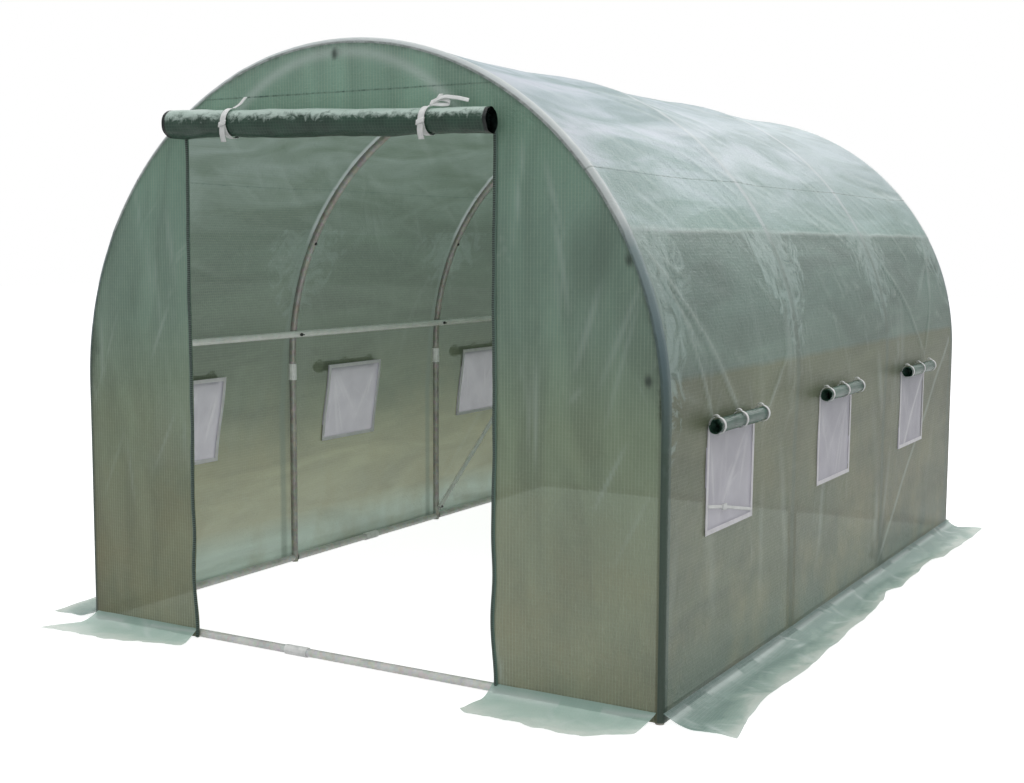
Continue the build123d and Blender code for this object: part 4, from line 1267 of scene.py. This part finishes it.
def straight_tube(start, end, radius, wall=0.0012):
    start, end = Vector(start), Vector(end)
    run = end - start
    clear_selection()
    bpy.ops.mesh.primitive_cylinder_add(vertices=SIDES, radius=radius, depth=run.length,
                                        location=(start + end) / 2,
                                        rotation=run.to_track_quat("Z", "Y").to_euler())
    piece = bpy.context.object
    for face in piece.data.polygons:
        face.select = abs(face.normal.z) > 0.9
    bpy.ops.object.mode_set(mode="EDIT")
    bpy.ops.mesh.inset(thickness=wall)
    bpy.ops.mesh.extrude_region_shrink_fatten(TRANSFORM_OT_shrink_fatten={"value": -0.03})
    bpy.ops.object.mode_set(mode="OBJECT")
    bpy.ops.object.transform_apply(location=True, rotation=True, scale=True)
    bpy.ops.object.shade_smooth_by_angle(angle=math.radians(35))
    return piece


def arch_tube(y, side, start_angle, end_angle, radius=TUBE_R):
    """A stretch of a hoop, angles in degrees up from the spring line."""
    clear_selection()
    first = math.radians(start_angle)
    bpy.ops.mesh.primitive_circle_add(vertices=SIDES, radius=radius, fill_type="NOTHING",
                                      location=(ARCH_R * math.cos(first), y,
                                                SPRING_Z + ARCH_R * math.sin(first)),
                                      rotation=(0, -first, 0))
    piece = bpy.context.object
    bpy.ops.object.transform_apply(location=True, rotation=True, scale=True)
    begin_edit()
    bpy.ops.mesh.select_mode(type="EDGE")
    bpy.ops.mesh.select_all(action="SELECT")
    steps = max(6, round((end_angle - start_angle) / 2.2))
    bpy.ops.mesh.spin(steps=steps, angle=math.radians(end_angle - start_angle), center=(0, y, SPRING_Z),
                      axis=(0, 1, 0))
    bpy.ops.mesh.select_all(action="SELECT")
    bpy.ops.mesh.remove_doubles(threshold=0.00001)
    bpy.ops.mesh.normals_make_consistent(inside=False)
    bpy.ops.object.mode_set(mode="OBJECT")
    if side < 0:
        piece.scale.x = -1
        bpy.ops.object.transform_apply(location=False, rotation=False, scale=True)
        begin_edit()
        bpy.ops.mesh.normals_make_consistent(inside=False)
        bpy.ops.object.mode_set(mode="OBJECT")
    bpy.ops.object.shade_smooth()
    return piece


def galvanised(name, dark, light, metallic):
    """Hot-dip galvanised steel tube: dull grey, with faint spangle and a white bloom of zinc salts."""
    material = new_material(name)
    place = add_node(material, "TexCoord")
    spangle = add_node(material, "TexVoronoi", {"Vector": place.outputs["Object"], "Scale": 90.0})
    bloom = add_node(material, "TexNoise",
                     {"Vector": place.outputs["Object"], "Scale": 14.0, "Detail": 5.0, "Roughness": 0.65})
    tone = add_node(material, "ValToRGB", {0: bloom}, stops=[(0.35, dark), (0.65, light)])
    flake = add_node(material, "Mix", {0: 0.10, 6: tone, 7: spangle.outputs["Color"]}, data_type="RGBA",
                     blend_type="OVERLAY")
    rough = add_node(material, "MapRange", {0: bloom, 1: 0.3, 2: 0.7, 3: 0.38, 4: 0.58})
    bump = add_node(material, "Bump", {"Height": bloom, "Strength": 0.15, "Distance": 0.001})
    face = add_node(material, "BsdfPrincipled",
                    {"Base Color": flake, "Metallic": metallic, "Roughness": rough, "Normal": bump})
    return close_material(material, face)


# Three copies of one steel with painted light and shade: darker on the hoops, lighter on the rails, lightest
# on the purlins and braces.
hoop_steel = galvanised("weathered_galvanised_tube", "#8d8c85", "#b3b2ac", 0.25)
rail_steel = galvanised("scuffed_galvanised_tube", "#c4c5c1", "#dfe0dd", 0.2)
painted_light_steel = galvanised("bright_galvanised_tube", "#e6e8e5", "#f8f9f7", 0.05)


def frame_piece(pieces, name, node, steel=painted_light_steel):
    made = join(pieces, name)
    made.data.materials.clear()
    made.data.materials.append(steel)
    dress(made, [node])
    return made


# %% Hoops, purlins, rails and braces
for side, word in ((1, "right"), (-1, "left")):
    frame_piece([straight_tube((side, y, 0), (side, y, LEG_TOP - 0.0003), TUBE_R) for y in HOOPS_Y],
                f"hoop_legs_{word}", f"{word}_legs", hoop_steel)
    shoulders = []
    for y in HOOPS_Y:
        shoulders.append(straight_tube((side, y, LEG_TOP), (side, y, SPRING_Z), TUBE_R))
        shoulders.append(arch_tube(y, side, 0, JOINT_DEGREES))
    frame_piece(shoulders, f"hoop_shoulders_{word}", f"{word}_shoulder_tubes", hoop_steel)
    frame_piece([arch_tube(y, side, JOINT_DEGREES + 0.02, 89.98) for y in HOOPS_Y],
                f"hoop_crowns_{word}", f"{word}_crown_tubes", hoop_steel)
    x = side * PURLIN_X
    frame_piece([straight_tube((x, -TUBE_END, PURLIN_Z), (x, TUBE_END, PURLIN_Z), TUBE_R)],
                f"purlin_{word}", f"{word}_purlin")
    foot, top = [Vector((side * x, y, z)) for x, y, z in (BRACE_FOOT, BRACE_TOP)]
    frame_piece([straight_tube(foot, top, BRACE_R)], f"brace_tube_{word}", f"{word}_brace")
    reach = [(-1.5 + BESIDE_TUBE, -0.5 - BESIDE_TUBE), (-0.5 + BESIDE_TUBE, -BESIDE_RAIL),
             (BESIDE_RAIL, 0.5 - BESIDE_TUBE), (0.5 + BESIDE_TUBE, 1.5 - BESIDE_TUBE)]
    frame_piece([straight_tube((side, a, RAIL_Z), (side, b, RAIL_Z), TUBE_R) for a, b in reach],
                f"base_rail_{word}", f"{word}_base_rail", rail_steel)
frame_piece([straight_tube((0, -TUBE_END, RIDGE_Z), (0, TUBE_END, RIDGE_Z), TUBE_R)],
            "purlin_ridge", "ridge_purlin")
for y, joint, word in ((-1.5, -0.185, "front"), (1.5, 0.0, "rear")):
    ends = ((-1 + BESIDE_TUBE, joint - BESIDE_RAIL), (joint + BESIDE_RAIL, 1 - BESIDE_TUBE))
    frame_piece([straight_tube((a, y, RAIL_Z), (b, y, RAIL_Z), TUBE_R) for a, b in ends],
                f"base_rail_{word}", f"{word}_base_rail", rail_steel)
print("frame tubes made")

# %% [markdown]
# ## Plastic sleeves and screws
# White moulded sleeves join the tubes, and black screws hold the purlins. These CAD solids already have the
# right shape, so they stay and only get their materials.

# %% Plastics
def moulded_plastic(name, dark, light, roughness):
    """Injection-moulded polypropylene: an even satin colour, scuffed and lightly dusted."""
    material = new_material(name)
    place = add_node(material, "TexCoord")
    dust_and_ground_reflection = add_node(material, "TexNoise", {"Vector": place.outputs["Object"], "Scale": 55.0, "Detail": 4.0})
    tone = add_node(material, "ValToRGB", {0: dust_and_ground_reflection}, stops=[(0.35, dark), (0.6, light)])
    bump = add_node(material, "Bump", {"Height": dust_and_ground_reflection, "Strength": 0.2, "Distance": 0.0004})
    face = add_node(material, "BsdfPrincipled",
                    {"Base Color": tone, "Roughness": roughness, "Normal": bump})
    return close_material(material, face)


white_plastic = moulded_plastic("moulded_white_polypropylene", "#e9ebea", "#fafbfa", 0.45)
black_plastic = moulded_plastic("moulded_black_nylon", "#141816", "#23292a", 0.4)
for node, material in (("right_leg_collars", white_plastic), ("left_leg_collars", white_plastic),
                       ("base_rail_sleeves", white_plastic), ("frame_bolts", black_plastic)):
    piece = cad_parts[node]
    for place in piece.material_slots:
        place.material = material
print("plastics set")
